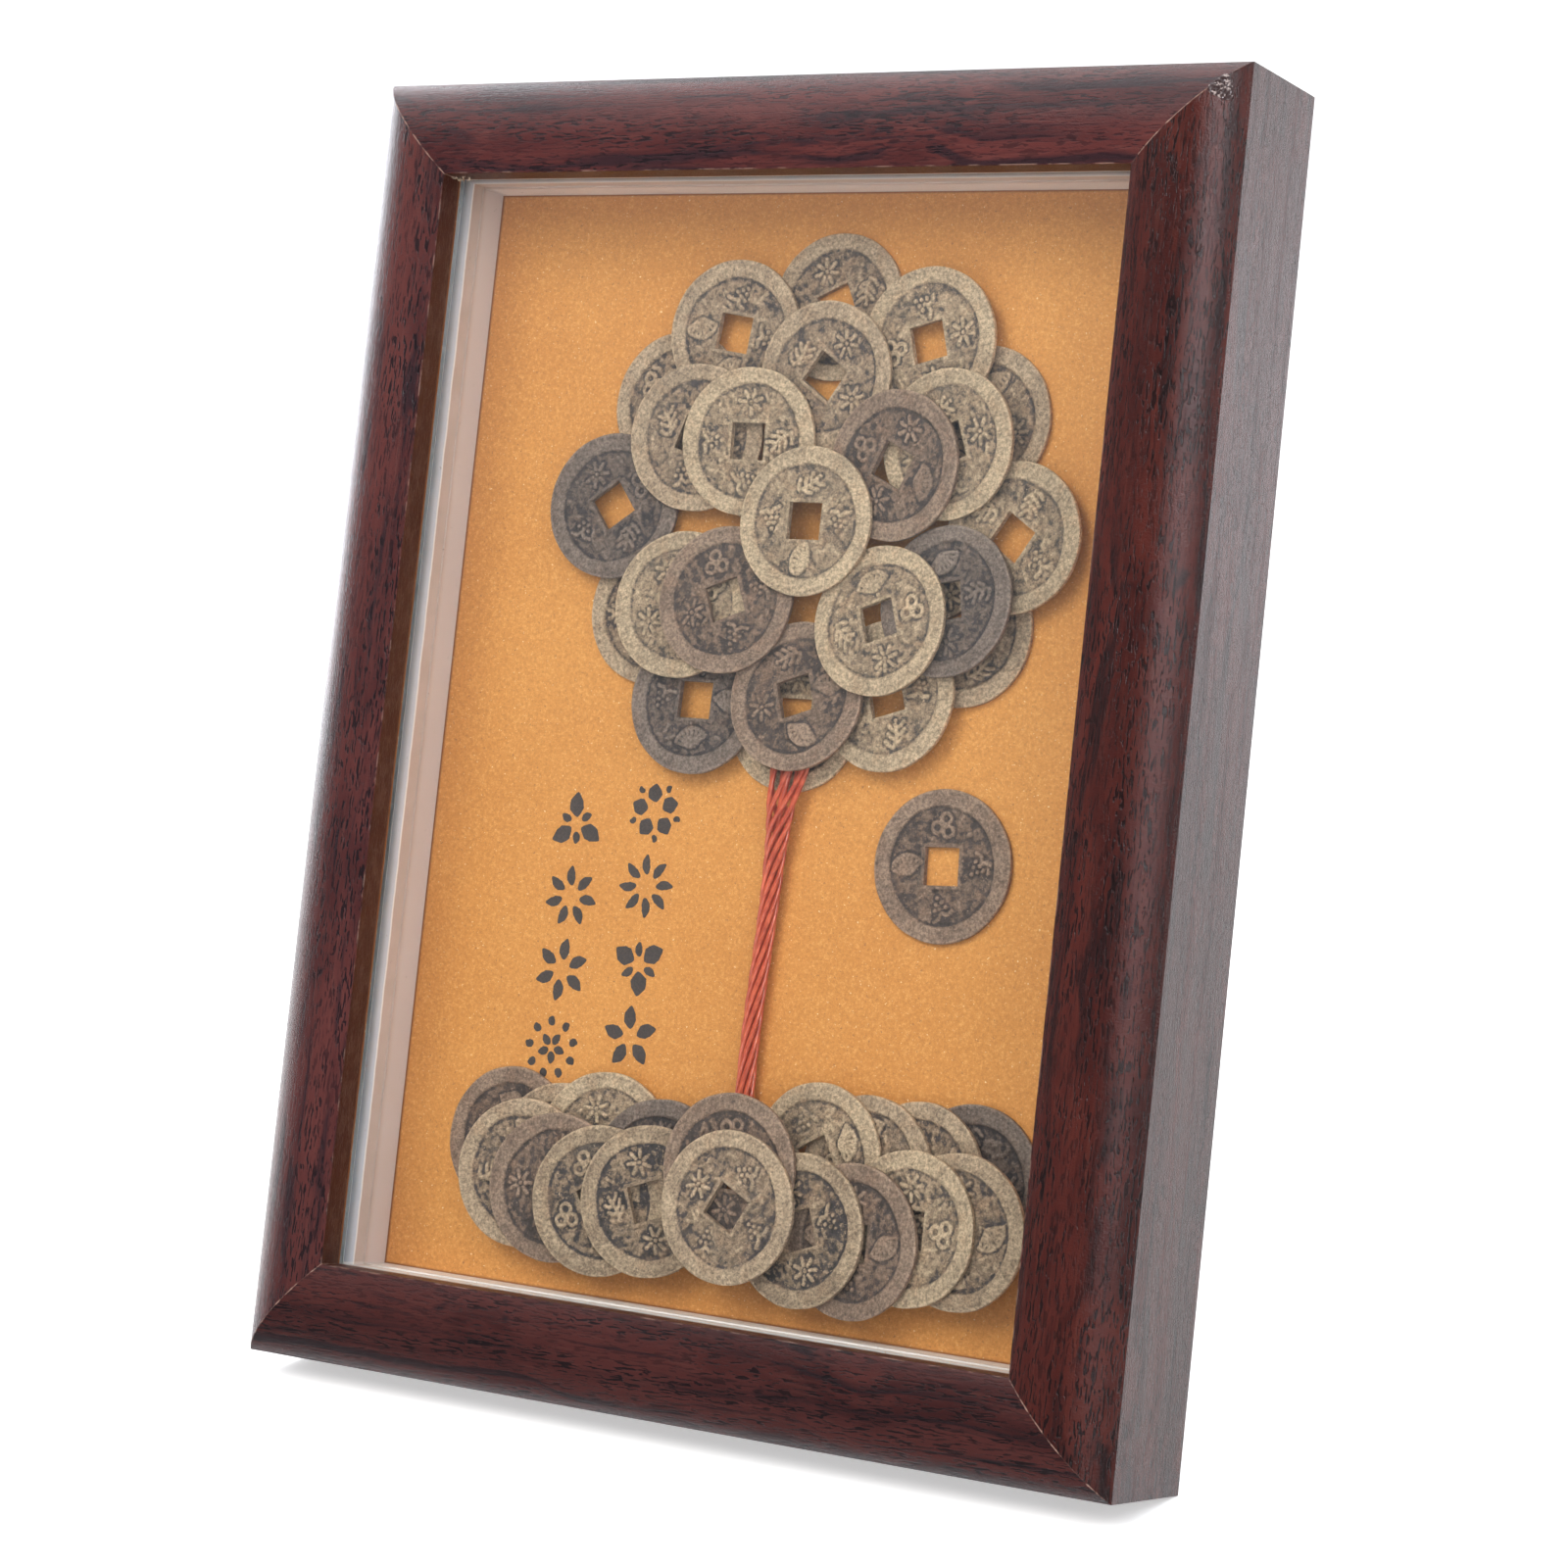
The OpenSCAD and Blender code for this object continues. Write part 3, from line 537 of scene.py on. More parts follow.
def rings(rng):
    """Three round links that touch."""
    strokes = []
    out, r = 1.1, 0.85
    round_once = np.linspace(0, 2 * math.pi, 12)
    for k in range(3):
        a = math.radians(90 + 120 * k)
        u, v = out * math.cos(a), out * math.sin(a)
        strokes += joined([(u + r * math.cos(b), v + r * math.sin(b)) for b in round_once])
    return strokes


def berries(rng):
    """A cluster of berries under two leaves."""
    strokes = joined([(0, 0.9), (-0.7, 1.5), (-1.7, 1.3)]) + joined([(0, 0.9), (0.6, 1.6), (1.6, 1.9)])
    for row in range(3):
        for k in range(3 - row):
            strokes += stud(0.95 * (k - (2 - row) / 2), 0.3 - 0.85 * row)
    return strokes


def mark_strokes(rng):
    """One cast ornament, 4 to 5 mm across and turned any way round.

    Every ornament takes the generator, though only some draw from it.
    """
    strokes = rng.choice((sprig, rosette, shell, rings, berries))(rng)
    turn = rng.uniform(0, 2 * math.pi)
    c, s = math.cos(turn), math.sin(turn)
    return [tuple(np.array((p[0] * c - p[1] * s, p[0] * s + p[1] * c)) for p in pair) for pair in strokes]


# Sizes of a coin in mm: FIELD is its sunk field's height over its middle plane, and MARK_R is how far out
# the ornaments sit
COIN_R = 11.5
COIN_HALF = 0.5
HOLE_HALF = 2.85
FIELD = 0.22
RIM_W = 2.65
MARK_R = 6.0
RIDGES = 26
WAVES = 16
COIN_TURNS = 208


def coin_heights(x, y, seed):
    """Height of the struck face, and its brightness from 0 for patina to about 1 for worn metal, with a
    painted highlight and a painted shade line at the outer edge.
    """
    rng = random.Random(seed)
    r = np.hypot(x, y)
    square = np.maximum(np.abs(x), np.abs(y))
    ang = np.arctan2(y, x)
    wobble = 0.16 * np.sin(2 * ang + rng.uniform(0, 6)) + 0.08 * np.sin(5 * ang + rng.uniform(0, 6))
    rim_in = COIN_R - RIM_W + wobble
    rim = ramp(rim_in - 0.2, rim_in + 0.2, r)
    inner = 1 - ramp(HOLE_HALF + 0.45, HOLE_HALF + 0.75, square + 0.08 * np.sin(9 * ang))
    near = np.full_like(r, 9.0)
    marks = np.zeros_like(r)
    for k in range(4):
        c, s = math.cos(k * math.pi / 2), math.sin(k * math.pi / 2)
        lx, ly = x + MARK_R * s, y - MARK_R * c
        weak = rng.uniform(0.7, 1.0)
        for a, b in mark_strokes(rng):
            d = segment_distance(lx, ly, a, b)
            near = np.minimum(near, d)
            marks = np.maximum(marks, weak * (1 - ramp(0.19, 0.36, d)))
    # Short worn ridges between the marks
    for k in range(RIDGES):
        a, rad = rng.uniform(0, 2 * math.pi), rng.uniform(4.0, 8.4)
        b, far = rng.uniform(0, math.pi), rng.uniform(0.3, 0.9)
        mid = np.array((rad * math.cos(a), rad * math.sin(a)))
        off = far * np.array((math.cos(b), math.sin(b)))
        d = segment_distance(x, y, mid - off, mid + off) + 0.12 * np.sin(5 * x + 3) * np.sin(4 * y)
        ridge = rng.uniform(0.45, 0.85) * (1 - ramp(0.14, 0.38, d))
        marks = np.maximum(marks, ridge * ramp(0.45, 0.65, near))
    inside = 1 - ramp(rim_in - 0.5, rim_in - 0.15, r)
    marks *= inside
    grain, blots = np.zeros_like(r), np.zeros_like(r)
    for k in range(WAVES):
        f, a = rng.uniform(1.5, 6.0), rng.uniform(0, math.pi)
        grain += np.sin(f * (x * math.cos(a) + y * math.sin(a)) + rng.uniform(0, 6.28)) / WAVES
        f, a = rng.uniform(0.3, 1.2), rng.uniform(0, math.pi)
        blots += np.sin(f * (x * math.cos(a) + y * math.sin(a)) + rng.uniform(0, 6.28)) / WAVES
    worn = np.clip(0.5 + 2.2 * blots, 0, 1)
    up = np.maximum(np.maximum(rim, 0.85 * inner), marks)
    up = np.clip(up + 1.1 * grain * (1 - 0.7 * up) * (1 - 0.5 * rim), 0, 1)
    height = FIELD + (COIN_HALF - FIELD) * up
    dent = np.clip(3.0 * blots - 0.8, 0, 1)
    height -= 0.05 * dent * rim + 0.16 * ramp(COIN_R - 0.45, COIN_R, r) ** 2
    groove = inside * ramp(0.25, 0.42, near) * (1 - ramp(0.5, 0.85, near))
    bright = np.maximum(np.maximum(rim, 0.55 * inner), marks * (0.90 + 0.25 * worn))
    bright = np.maximum(bright, 0.16 + 0.8 * grain + 0.30 * worn * inside * (1 - up))
    bright -= 0.45 * groove * (1 - marks)
    seam = np.exp(-((r - rim_in + 0.28) / 0.22) ** 2)
    bright -= 0.40 * seam * (1 - 0.6 * worn)
    # A painted highlight along the coin's outer edge, and a painted dark line of shade on the rim just inside
    # it
    edge = ramp(COIN_R - 0.50, COIN_R - 0.2, r)
    edge_shade_ring = np.exp(-((r - COIN_R + 0.75) / 0.22) ** 2)
    blotch = np.clip(0.5 + 3.0 * np.roll(blots, 1) + 1.5 * grain, 0, 1)
    bright = bright * (1 - rim * (0.34 - 0.22 * blotch)) + 0.26 * edge - 0.12 * edge_shade_ring
    return height, np.clip(bright, 0, 1.1)


def coin_mesh(name, seed, material):
    """A closed coin about its own middle, in metres, with its struck face towards +z and a plain back."""
    ang = np.arange(COIN_TURNS) * 2 * math.pi / COIN_TURNS
    c, s = np.cos(ang), np.sin(ang)
    hole = HOLE_HALF / np.maximum(np.abs(c), np.abs(s))
    rng = random.Random(seed + 7)
    outer = COIN_R - 0.06 + 0.05 * np.sin(3 * ang + rng.uniform(0, 6)) * np.sin(7 * ang)
    steps = np.concatenate([np.linspace(0, 0.93, 44), [0.955, 0.975, 0.99, 1.0]])
    loops, ups = [], []
    for t in steps:
        rad = hole + (outer - hole) * t
        z, up = coin_heights(rad * c, rad * s, seed)
        loops.append(np.stack([rad * c, rad * s, z], 1))
        ups.append(up)
    # The outer edge and the plain back, as radius and height; the last loop joins the first at the hole
    back = [
        (outer, 0.18), (outer, -0.30), (outer - 0.12, -0.44), (outer - 0.4, -COIN_HALF),
        (outer - 2.5, -COIN_HALF), (outer - 2.8, -0.38),
        (hole + 0.9, -0.38), (hole + 0.7, -COIN_HALF), (hole, -COIN_HALF),
    ]
    for rad, z in back:
        loops.append(np.stack([rad * c, rad * s, np.full(COIN_TURNS, z)], 1))
        ups.append(np.full(COIN_TURNS, 0.9 if z > -0.4 and rad is outer else 0.6))
    co = np.concatenate(loops) * MM
    n = len(loops)
    faces = []
    for i in range(n):
        j = (i + 1) % n
        for k in range(COIN_TURNS):
            m = (k + 1) % COIN_TURNS
            a, b = i * COIN_TURNS, j * COIN_TURNS
            faces.append((a + k, b + k, b + m, a + m))
    ob = add_mesh(name, co, faces, material, wear_and_edge_light=np.concatenate(ups))
    sharpen(ob, 50)
    return ob


def shells(node):
    """The separate solids of a CAD node, as arrays of points, from left to right."""
    mesh = NODES[node].data
    co = points(node)
    keys, ident = {}, []
    for p in np.round(co * 1e6).astype(int):
        ident.append(keys.setdefault(tuple(p), len(keys)))
    parent = list(range(len(keys)))

    def find(i):
        while parent[i] != i:
            parent[i] = parent[parent[i]]
            i = parent[i]
        return i

    for poly in mesh.polygons:
        v = [ident[i] for i in poly.vertices]
        for i in v[1:]:
            parent[find(v[0])] = find(i)
    roots = np.array([find(i) for i in ident])
    groups = [co[roots == r] for r in sorted(set(roots))]
    return sorted(groups, key=lambda p: (p[:, 0].min() + p[:, 0].max()) / 2)


def coin_place(p):
    """Where a CAD coin lies, as a matrix from the coin's own axes, with its struck face forward."""
    mid = (p.min(0) + p.max(0)) / 2
    far = p[np.argsort(-np.linalg.norm(p - mid, axis=1))[:200]]
    normal = np.linalg.svd(far - far.mean(0))[2][2]
    out = np.array(AXES.col[2][0:3]) / MM
    if normal @ out < 0:
        normal = -normal
    flat = (p - mid) - np.outer((p - mid) @ normal, normal)
    d = np.linalg.norm(flat, axis=1)
    corner = HOLE_HALF * math.sqrt(2) * MM
    at_corner = flat[np.abs(d - corner) < 0.04 * MM]
    up = np.array(AXES.col[1][0:3])
    up = up - (up @ normal) * normal
    up /= np.linalg.norm(up)
    right = np.cross(up, normal)
    # The hole's corners lie a quarter turn apart, so four times their angle points one way
    a = np.arctan2(at_corner @ up, at_corner @ right)
    turn = math.atan2(np.sin(4 * a).sum(), np.cos(4 * a).sum()) / 4 + math.pi / 4
    x = math.cos(turn) * right + math.sin(turn) * up
    y = np.cross(normal, x)
    m = Matrix.Identity(4)
    for row in range(3):
        m[row][0:4] = [x[row], y[row], normal[row], mid[row]]
    return m


# The tones of the heap's coins, from left to right in each node
HEAP_TONES = {
    "back_row_left": ["coin_brown", "coin_mid", "coin_light", "coin_dark"],
    "back_row_right": ["coin_light", "coin_mid", "coin_mid", "coin_dark"],
    "front_row_left": ["coin_mid", "coin_brown", "coin_two_tone", "coin_two_tone"],
    "front_row_right": ["coin_two_tone", "coin_brown", "coin_light", "coin_mid"],
    "back_row_middle": ["coin_brown"],
    "front_row_middle": ["coin_mid"],
}
count = 0
for node in sorted(NODES):
    if not (node.startswith("crown_coin") or node == "lone_coin" or node in HEAP_TONES):
        continue
    tones = HEAP_TONES.get(node, [SLOTS[node]])
    pieces = []
    for i, (group, tone) in enumerate(zip(shells(node), tones)):
        count += 1
        label = node if len(tones) == 1 else f"{node}_{i + 1}"
        coin = coin_mesh("coin_" + label.replace("crown_coin", "crown"), 100 + count, COINS[tone])
        coin.matrix_world = coin_place(group)
        pieces.append(coin)
    for coin in pieces:
        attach(coin, "frame")
    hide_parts(node)


# ---------------------------------------------------------------- wire trunk
# Its middle line's x, y and height over the sheet, and half its width and half its depth there, in mm
TRUNK = np.array([
    [6.5, 2, 1.95, 3.4, 0.75],
    [5.8, -3, 2, 3.4, 0.8],
    [5.3, -8, 2.4, 2.6, 1.1],
    [4.9, -14, 2, 1.9, 1.4],
    [4.6, -22, 1.7, 1.6, 1.45],
    [4.2, -31, 1.6, 1.5, 1.45],
    [3.8, -40, 1.6, 1.5, 1.45],
    [3.7, -49, 1.6, 1.5, 1.45],
    [4, -58, 1.6, 1.5, 1.45],
])
STRANDS = 7
WIRE_R = 0.40
CORE_R = 0.55
SIDES = 10
STEPS = 150
STEPS_A_TURN = 62


def along_trunk(count):
    """Rows of TRUNK evenly spaced on a smooth curve through them."""
    rows = []
    last = len(TRUNK) - 1
    for v in np.linspace(0, last, count):
        i = min(int(v), last - 1)
        t = v - i
        p0, p1, p2, p3 = TRUNK[max(i - 1, 0)], TRUNK[i], TRUNK[i + 1], TRUNK[min(i + 2, last)]
        rows.append(0.5 * (2 * p1 + (p2 - p0) * t + (2 * p0 - 5 * p1 + 4 * p2 - p3) * t * t
                           + (3 * p1 - p0 - 3 * p2 + p3) * t ** 3))
    return np.array(rows)


def tube(path, radius):
    """Points and faces of a closed round tube along a path of points."""
    tangent = np.gradient(path, axis=0)
    tangent /= np.linalg.norm(tangent, axis=1)[:, None]
    across = np.cross(tangent, [0, 0, 1.0])
    across /= np.linalg.norm(across, axis=1)[:, None]
    other = np.cross(tangent, across)
    ring = np.arange(SIDES) * 2 * math.pi / SIDES
    co = (path[:, None] + radius * (np.cos(ring)[None, :, None] * across[:, None]
                                    + np.sin(ring)[None, :, None] * other[:, None])).reshape(-1, 3)
    faces = []
    for i in range(len(path) - 1):
        for k in range(SIDES):
            m = (k + 1) % SIDES
            faces.append((i * SIDES + k, i * SIDES + m, (i + 1) * SIDES + m, (i + 1) * SIDES + k))
    faces.append(tuple(range(SIDES - 1, -1, -1)))
    faces.append(tuple((len(path) - 1) * SIDES + k for k in range(SIDES)))
    return co, faces


def over_sheet(co):
    """Points in the frame's own mm, with z over the sheet, to metres in the world."""
    return to_world(np.asarray(co, float) + [0, 0, SHEET_Z])


rows = along_trunk(STEPS)
co, faces = [], []
for k in range(STRANDS + 1):
    if k == STRANDS:
        # The core runs straight down the middle
        off = np.zeros((len(rows), 2))
    else:
        # The wires run nearly straight where they fan out, and twist below
        spread = ramp(1.8, 3.2, rows[:, 3])
        a = 2 * math.pi * k / STRANDS + 0.35 + np.cumsum(1 - 0.85 * spread) * 2 * math.pi / STEPS_A_TURN
        deep = np.maximum(rows[:, 4] - WIRE_R, 0.05)
        off = np.stack([np.cos(a) * (rows[:, 3] - WIRE_R), np.sin(a) * deep], 1)
    path = np.stack([rows[:, 0] + off[:, 0], rows[:, 1], rows[:, 2] + off[:, 1]], 1)
    c, f = tube(path, WIRE_R if k < STRANDS else CORE_R)
    faces += [tuple(i + sum(len(q) for q in co) for i in face) for face in f]
    co.append(c)
strands = add_mesh("trunk_wires", over_sheet(np.concatenate(co)), faces, MATERIALS["red_wire"])
sharpen(strands, 60)
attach(strands, "frame")
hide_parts("wire_trunk")


# ---------------------------------------------------------------- brush marks
MARK_SCALE = 1.2
BRUSH_SCALE = 1.45
INK_LIFT = 0.05


def brush_stroke(path, widths, lift):
    """A flat closed ribbon of ink along a path, swelling and tapering, a hair thick."""
    n = 36
    t = np.linspace(0, 1, n)
    path = np.array(path, float)
    s = np.linspace(0, 1, len(path))
    x = np.interp(t, s, path[:, 0])
    y = np.interp(t, s, path[:, 1])
    for _ in range(8):
        x[1:-1] = (x[:-2] + 2 * x[1:-1] + x[2:]) / 4
        y[1:-1] = (y[:-2] + 2 * y[1:-1] + y[2:]) / 4
    w = BRUSH_SCALE * np.interp(t, np.linspace(0, 1, len(widths)), widths) / 2
    start, end = np.clip(t / 0.07, 0.02, 1), np.clip((1 - t) / 0.05, 0.02, 1)
    w *= np.sqrt(start) * np.sqrt(end)
    dx, dy = np.gradient(x), np.gradient(y)
    length = np.hypot(dx, dy) + 1e-9
    nx, ny = -dy / length, dx / length
    left = np.stack([x + nx * w, y + ny * w], 1)
    right = np.stack([x - nx * w, y - ny * w], 1)
    co, faces = [], []
    for z in (lift, 0.005):
        for a, b in zip(left, right):
            co += [(a[0], a[1], z), (b[0], b[1], z)]
    half = 2 * n
    for i in range(n - 1):
        a = 2 * i
        faces.append((a, a + 1, a + 3, a + 2))
        faces.append((half + a + 2, half + a + 3, half + a + 1, half + a))
        faces.append((a, a + 2, half + a + 2, half + a))
        faces.append((a + 3, a + 1, half + a + 1, half + a + 3))
    faces.append((1, 0, half, half + 1))
    faces.append((half - 2, half - 1, 2 * half - 1, 2 * half - 2))
    return co, faces


def petals(count, start, near, far, width):
    """Brush dabs spread evenly round a middle, as paths with their widths; start is the first one's angle."""
    dabs = []
    for k in range(count):
        a = math.radians(start + 360 * k / count)
        path = [(r * math.cos(a + bend), r * math.sin(a + bend))
                for r, bend in ((near, 0.0), ((near + far) / 2, 0.12), (far, 0.05))]
        dabs.append((path, [0.35, width, 0.9 * width, 0.2]))
    return dabs


# Each mark is a plain brushed flower, about 10 mm across at MARK_SCALE, which spells nothing
MARKS = [
    petals(5, 90, 1.2, 3.6, 1.8) + petals(5, 126, 3.1, 4.0, 0.6),
    petals(8, 0, 1.5, 4.1, 1.0),
    petals(3, 270, 0.9, 4.1, 2.0) + petals(3, 330, 1.0, 2.9, 0.9),
    petals(5, 90, 1.1, 4.1, 1.5),
    petals(3, 90, 0.9, 4.2, 1.8) + petals(3, 30, 1.0, 2.6, 0.9),
    petals(7, 90, 1.4, 4.0, 1.1),
    petals(6, 20, 1.3, 4.1, 1.3),
    petals(9, 10, 2.9, 4.1, 0.9) + petals(5, 54, 0.5, 2.1, 0.9),
]
# The middles of the marks, in the frame's own mm
COLUMNS = {
    "ink_column_right": [(-18.7, -11.0), (-18.9, -22.6), (-18.7, -34.7), (-18.9, -46.0)],
    "ink_column_left": [(-33.0, -14.0), (-32.6, -25.3), (-32.9, -36.8), (-33.2, -49.0)],
}
for column, (name, cells) in enumerate(COLUMNS.items()):
    co, faces = [], []
    for k, (cx, cy) in enumerate(cells):
        for j, (path, widths) in enumerate(MARKS[4 * column + k]):
            # Each dab lies a hair higher than the last, so that no two share a plane
            placed = [(cx + MARK_SCALE * px, cy + MARK_SCALE * py) for px, py in path]
            c, f = brush_stroke(placed, widths, INK_LIFT + 0.006 * j)
            faces += [tuple(i + len(co) for i in face) for face in f]
            co += c
    ob = add_mesh(name, over_sheet(co), faces, INK, rounded=False)
    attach(ob, "frame")


# ---------------------------------------------------------------- wear
def torn_foil():
    """Foil broken at a knock: dark and shiny, with pale flakes painted as the glints of the crumpled foil."""
    g = Graph("torn_foil")
    place, _ = g.own()
    # Painted highlight: the pale flakes stand for the crumpled foil's glints
    foil_glint = g.span(g.noise(place, 1.5, 3, 0.7), 0.54, 0.62)
    tone = g.mix(foil_glint, (0.040, 0.022, 0.022), (0.40, 0.32, 0.30))
    return g.finish(
        Base_Color=tone,
        Roughness=g.span(foil_glint, 0, 1, 0.16, 0.5),
        Normal=g.bump(foil_glint, 0.3, 0.0001),
    )


def raw_fibre():
    g = Graph("raw_fibre")
    place, _ = g.own()
    tone = g.mix(g.span(g.noise(place, 2.0, 2), 0.35, 0.65), (0.52, 0.36, 0.22), (0.86, 0.74, 0.58))
    return g.finish(Base_Color=tone, Roughness=0.7)


def knock(cx, cy, width, tall):
    """Crumpled foil over a knocked spot of the moulding's face, on its surface."""
    deps = bpy.context.evaluated_depsgraph_get()
    trees = [BVHTree.FromObject(NODES[n], deps) for n in ("rail_top", "stile_right")]
    rng = random.Random(5)
    n = 15
    top = []
    for i in range(n):
        for j in range(n):
            u, v = 2 * i / (n - 1) - 1, 2 * j / (n - 1) - 1
            # A square grid drawn into a rough disc
            u, v = u * math.sqrt(1 - v * v / 2), v * math.sqrt(1 - u * u / 2)
            r = math.hypot(u, v)
            edge = 1 - 0.16 * math.sin(3 * math.atan2(v, u) + 1) * r
            start = AXES @ Vector((cx + width * u * edge / 2, cy + tall * v * edge / 2, 12))
            way = (AXES @ Vector((0, 0, -1))) - (AXES @ Vector((0, 0, 0)))
            hits = [t.ray_cast(start, way.normalized()) for t in trees]
            hit = min((h for h in hits if h[0] is not None), key=lambda h: h[3])[0]
            rise = 0.02 if r > 0.93 else 0.05 + rng.random() ** 2 * 0.42 * (1 - r * r)
            top.append(np.array(BACK @ hit) + (0, 0, rise))
    top = np.array(top)
    co = np.concatenate([top, top - (0, 0, 0.30)])
    faces = []
    for i in range(n - 1):
        for j in range(n - 1):
            a, b, c, d = i * n + j, (i + 1) * n + j, (i + 1) * n + j + 1, i * n + j + 1
            faces += [(a, b, c, d), (n * n + d, n * n + c, n * n + b, n * n + a)]
    ring = ([i * n for i in range(n)] + [(n - 1) * n + j for j in range(1, n)]
            + [i * n + n - 1 for i in range(n - 2, -1, -1)] + list(range(n - 2, 0, -1)))
    for a, b in zip(ring, ring[1:] + ring[:1]):
        faces.append((b, a, n * n + a, n * n + b))
    ob = add_mesh("knocked_corner", to_world(co), faces, torn_foil(), rounded=False)
    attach(ob, "frame")


def splinters():
    """Pale fibres left along the lip's cut edge where it meets the glass, thickest at one corner."""
    rng = random.Random(11)
    left, low, z = 0.08 - OPEN_X, 0.08 - OPEN_Y, 0.12
    spots = [(left, rng.uniform(-80, 85), z) for _ in range(46)]
    for _ in range(26):
        x = left + rng.random() ** 2 * 3.2
        y = OPEN_Y - 0.1 - 0.2 * rng.random()
        spots.append((x, y, 0.5 + rng.uniform(-0.3, 2.4)))
    spots += [(rng.uniform(-55, 58), low, z) for _ in range(14)]
    co, faces = [], []
    for x, y, z in spots:
        far = rng.uniform(0.14, 0.42)
        way = np.array([rng.gauss(0, 0.5), rng.gauss(0, 1), rng.gauss(0, 0.35)])
        way /= np.linalg.norm(way)
        a = np.cross(way, [0.3, 0.2, 1.0])
        a /= np.linalg.norm(a)
        b = np.cross(way, a)
        w = rng.uniform(0.04, 0.09)
        mid = np.array([x, y, z])
        k = len(co)
        co += [mid - far * way, mid + w * a, mid + w * b, mid - w * a, mid - w * b, mid + far * way]
        for i in range(4):
            j = (i + 1) % 4
            faces += [(k, k + 1 + j, k + 1 + i), (k + 5, k + 1 + i, k + 1 + j)]
    ob = add_mesh("lip_fibres", to_world(co), faces, raw_fibre(), rounded=False)
    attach(ob, "frame")


knock(72.9, 97.1, 2.9, 3.6)
splinters()


# ---------------------------------------------------------------- floor, lights and camera
def stage_floor():
    """Pale floor that sweeps up into a backdrop far behind."""
    g = Graph("pale_floor")
    place = g.add("TexCoord").outputs["Object"]
    tone = g.mix(g.span(g.noise(place, 3.0, 3), 0.3, 0.7), (0.93, 0.93, 0.93), (0.95, 0.95, 0.95))
    material = g.finish(Base_Color=tone, Roughness=0.9, Emission_Color=(1, 1, 1), Emission_Strength=0.5)
    bend = [(1.5 * math.sin(a), 1.5 - 1.5 * math.cos(a)) for a in np.linspace(0.1, math.pi / 2, 14)]
    sweep = [(2.0 + u, v) for u, v in bend] + [(3.5, 4.0)]
    lines = {"floor_front": [(-3.0, 0.0), (0.0, 0.0)], "floor_back": [(0.0, 0.0), (2.0, 0.0)] + sweep}
    for name, line in lines.items():
        co = [(x, y, z) for y, z in line for x in (-5, 5)]
        faces = [(2 * i, 2 * i + 1, 2 * i + 3, 2 * i + 2) for i in range(len(line) - 1)]
        floor = add_mesh(name, co, faces, material)
        floor.visible_glossy = name == "floor_back"
    # Behind the lamps, a wall that keeps the view from behind plain and throws no light
    ways = np.radians(np.linspace(-115, 115, 40))
    sweep = [(2.6, -0.001), (2.9, -0.001)] + [(2.9 + u, v) for u, v in bend] + [(4.4, 5.0)]
    co = [(r * math.sin(a), -r * math.cos(a), z) for a in ways for r, z in sweep]
    n = len(sweep)
    corners = [i * n + k for i in range(len(ways) - 1) for k in range(n - 1)]
    faces = [(a, a + n, a + n + 1, a + 1) for a in corners]
    wall = add_mesh("wall_front", co, faces, material)
    wall.visible_glossy = wall.visible_diffuse = wall.visible_transmission = wall.visible_shadow = False


def area(name, place, target, size, power, colour=(1, 1, 1), tall=None, shiny="both"):
    """A rectangular lamp, which only lights, only shows in gloss, or does both."""
    light = bpy.data.lights.new(name, "AREA")
    light.energy = power
    light.color = colour
    light.shape = "RECTANGLE"
    light.size = size
    light.size_y = tall or size
    ob = bpy.data.objects.new(name, light)
    ob.location = place
    ob.rotation_euler = (Vector(target) - Vector(place)).to_track_quat("-Z", "Y").to_euler()
    ob.visible_camera = False
    ob.visible_glossy = shiny != "matt"
    ob.visible_transmission = shiny != "matt"
    ob.visible_diffuse = shiny != "gloss"
    bpy.context.scene.collection.objects.link(ob)


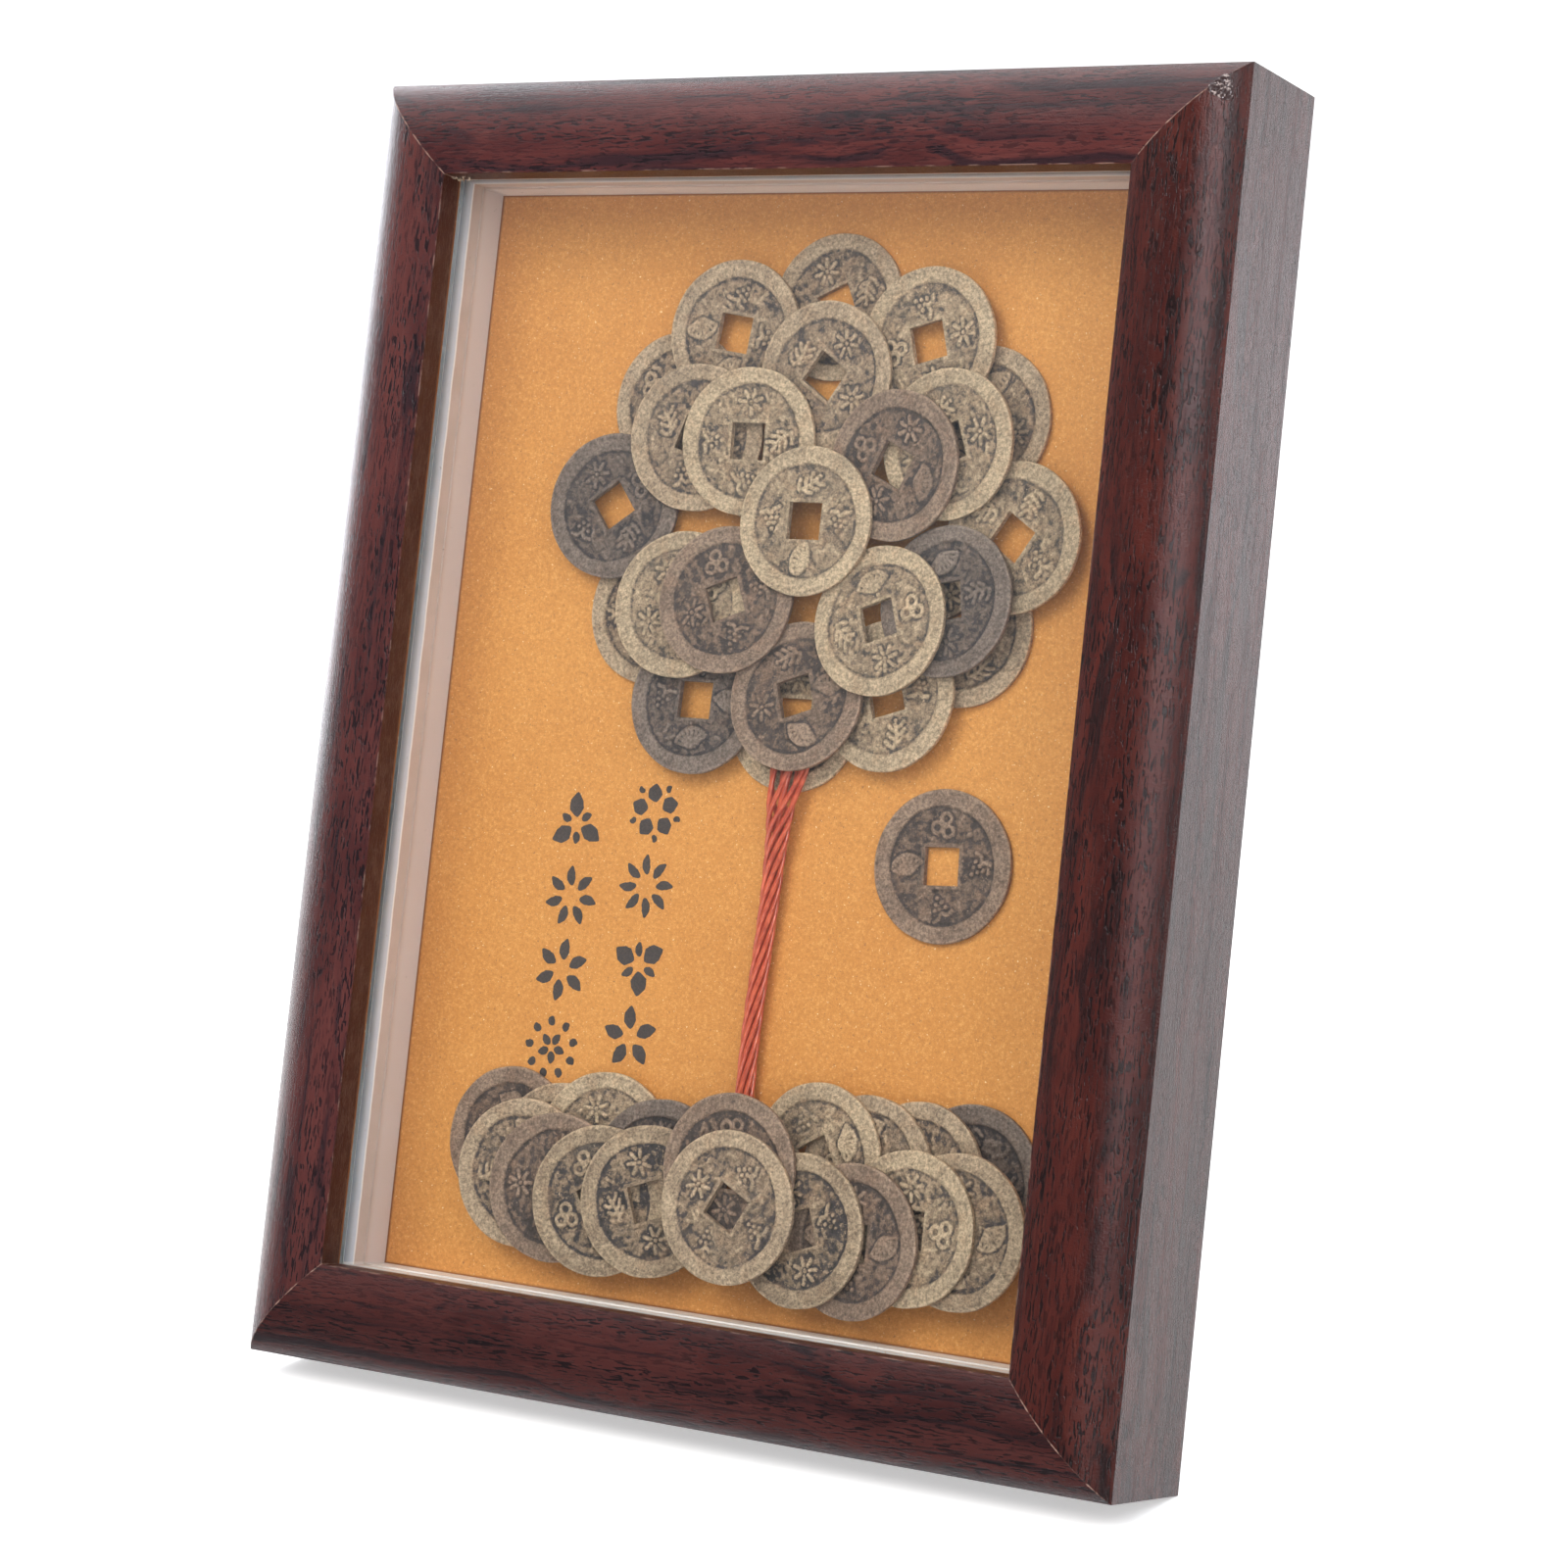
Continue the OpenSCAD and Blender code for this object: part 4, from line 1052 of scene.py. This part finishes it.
stage_floor()
area("key", (-0.30, -1.15, 1.10), (0, 0, 0.1), 0.9, 18.5, (1.0, 0.985, 0.965), shiny="matt")
area("fill", (0.85, -1.1, 0.7), (0, 0, 0.1), 0.8, 4.6, (0.98, 0.99, 1.0), shiny="matt")
area("strip", (1.06, -0.72, 0.66), (0, 0, 0.12), 0.13, 8.6, (0.98, 0.96, 1.0), tall=0.75, shiny="gloss")
area("side", (0.62, 1.0, 0.14), (0.07, 0, 0.1), 0.9, 1.3, (0.96, 0.93, 1.0), tall=0.26, shiny="gloss")
area("rim", (-1.0, 0.55, 0.45), (-0.07, 0, 0.1), 0.7, 6.0, (0.90, 0.93, 1.0), tall=0.9, shiny="gloss")
area("kicker", (-0.45, -0.75, 1.25), (0, 0, 0.1), 0.25, 1.6)

scene = bpy.context.scene
world = bpy.data.worlds.new("studio")
world.use_nodes = True
nodes, links = world.node_tree.nodes, world.node_tree.links
way = nodes.new("ShaderNodeTexCoord")


def glow(direction, near, far, low, high):
    """Brightness of the room, rising from low to high towards a direction."""
    dot = nodes.new("ShaderNodeVectorMath")
    dot.operation = "DOT_PRODUCT"
    dot.inputs[1].default_value = direction
    fade = nodes.new("ShaderNodeMapRange")
    fade.interpolation_type = "SMOOTHSTEP"
    for key, value in (("From Min", near), ("From Max", far), ("To Min", low), ("To Max", high)):
        fade.inputs[key].default_value = value
    links.new(way.outputs["Generated"], dot.inputs[0])
    links.new(dot.outputs["Value"], fade.inputs["Value"])
    return fade.outputs[0]


both = nodes.new("ShaderNodeMath")
links.new(glow((-0.10, 0.92, 0.38), -0.35, 0.45, 0.16, 1.5), both.inputs[0])
links.new(glow((-0.45, -0.75, 0.485), 0.93, 1.0, 0.0, 0.35), both.inputs[1])
links.new(both.outputs[0], nodes["Background"].inputs[1])
nodes["Background"].inputs[0].default_value = (0.94, 0.965, 1, 1)
scene.world = world
scene.view_settings.view_transform = "Standard"

CAMERA_AT = (0.3175, -0.5099, 0.1750)
CAMERA_WAY = (-0.521, 0.847, -0.106)
CAMERA_UP = (-0.055, 0.090, 0.994)
camera = bpy.data.cameras.new("camera")
camera.lens = 91.4
camera.sensor_width = 36
camera.shift_y = -0.0625
camera.clip_start = 0.01
ob = bpy.data.objects.new("camera", camera)
look = Vector(CAMERA_WAY).normalized()
side = look.cross(Vector(CAMERA_UP)).normalized()
up = side.cross(look)
ob.matrix_world = Matrix((
    (side.x, up.x, -look.x, CAMERA_AT[0]),
    (side.y, up.y, -look.y, CAMERA_AT[1]),
    (side.z, up.z, -look.z, CAMERA_AT[2]),
    (0, 0, 0, 1),
))
scene.collection.objects.link(ob)
scene.camera = ob
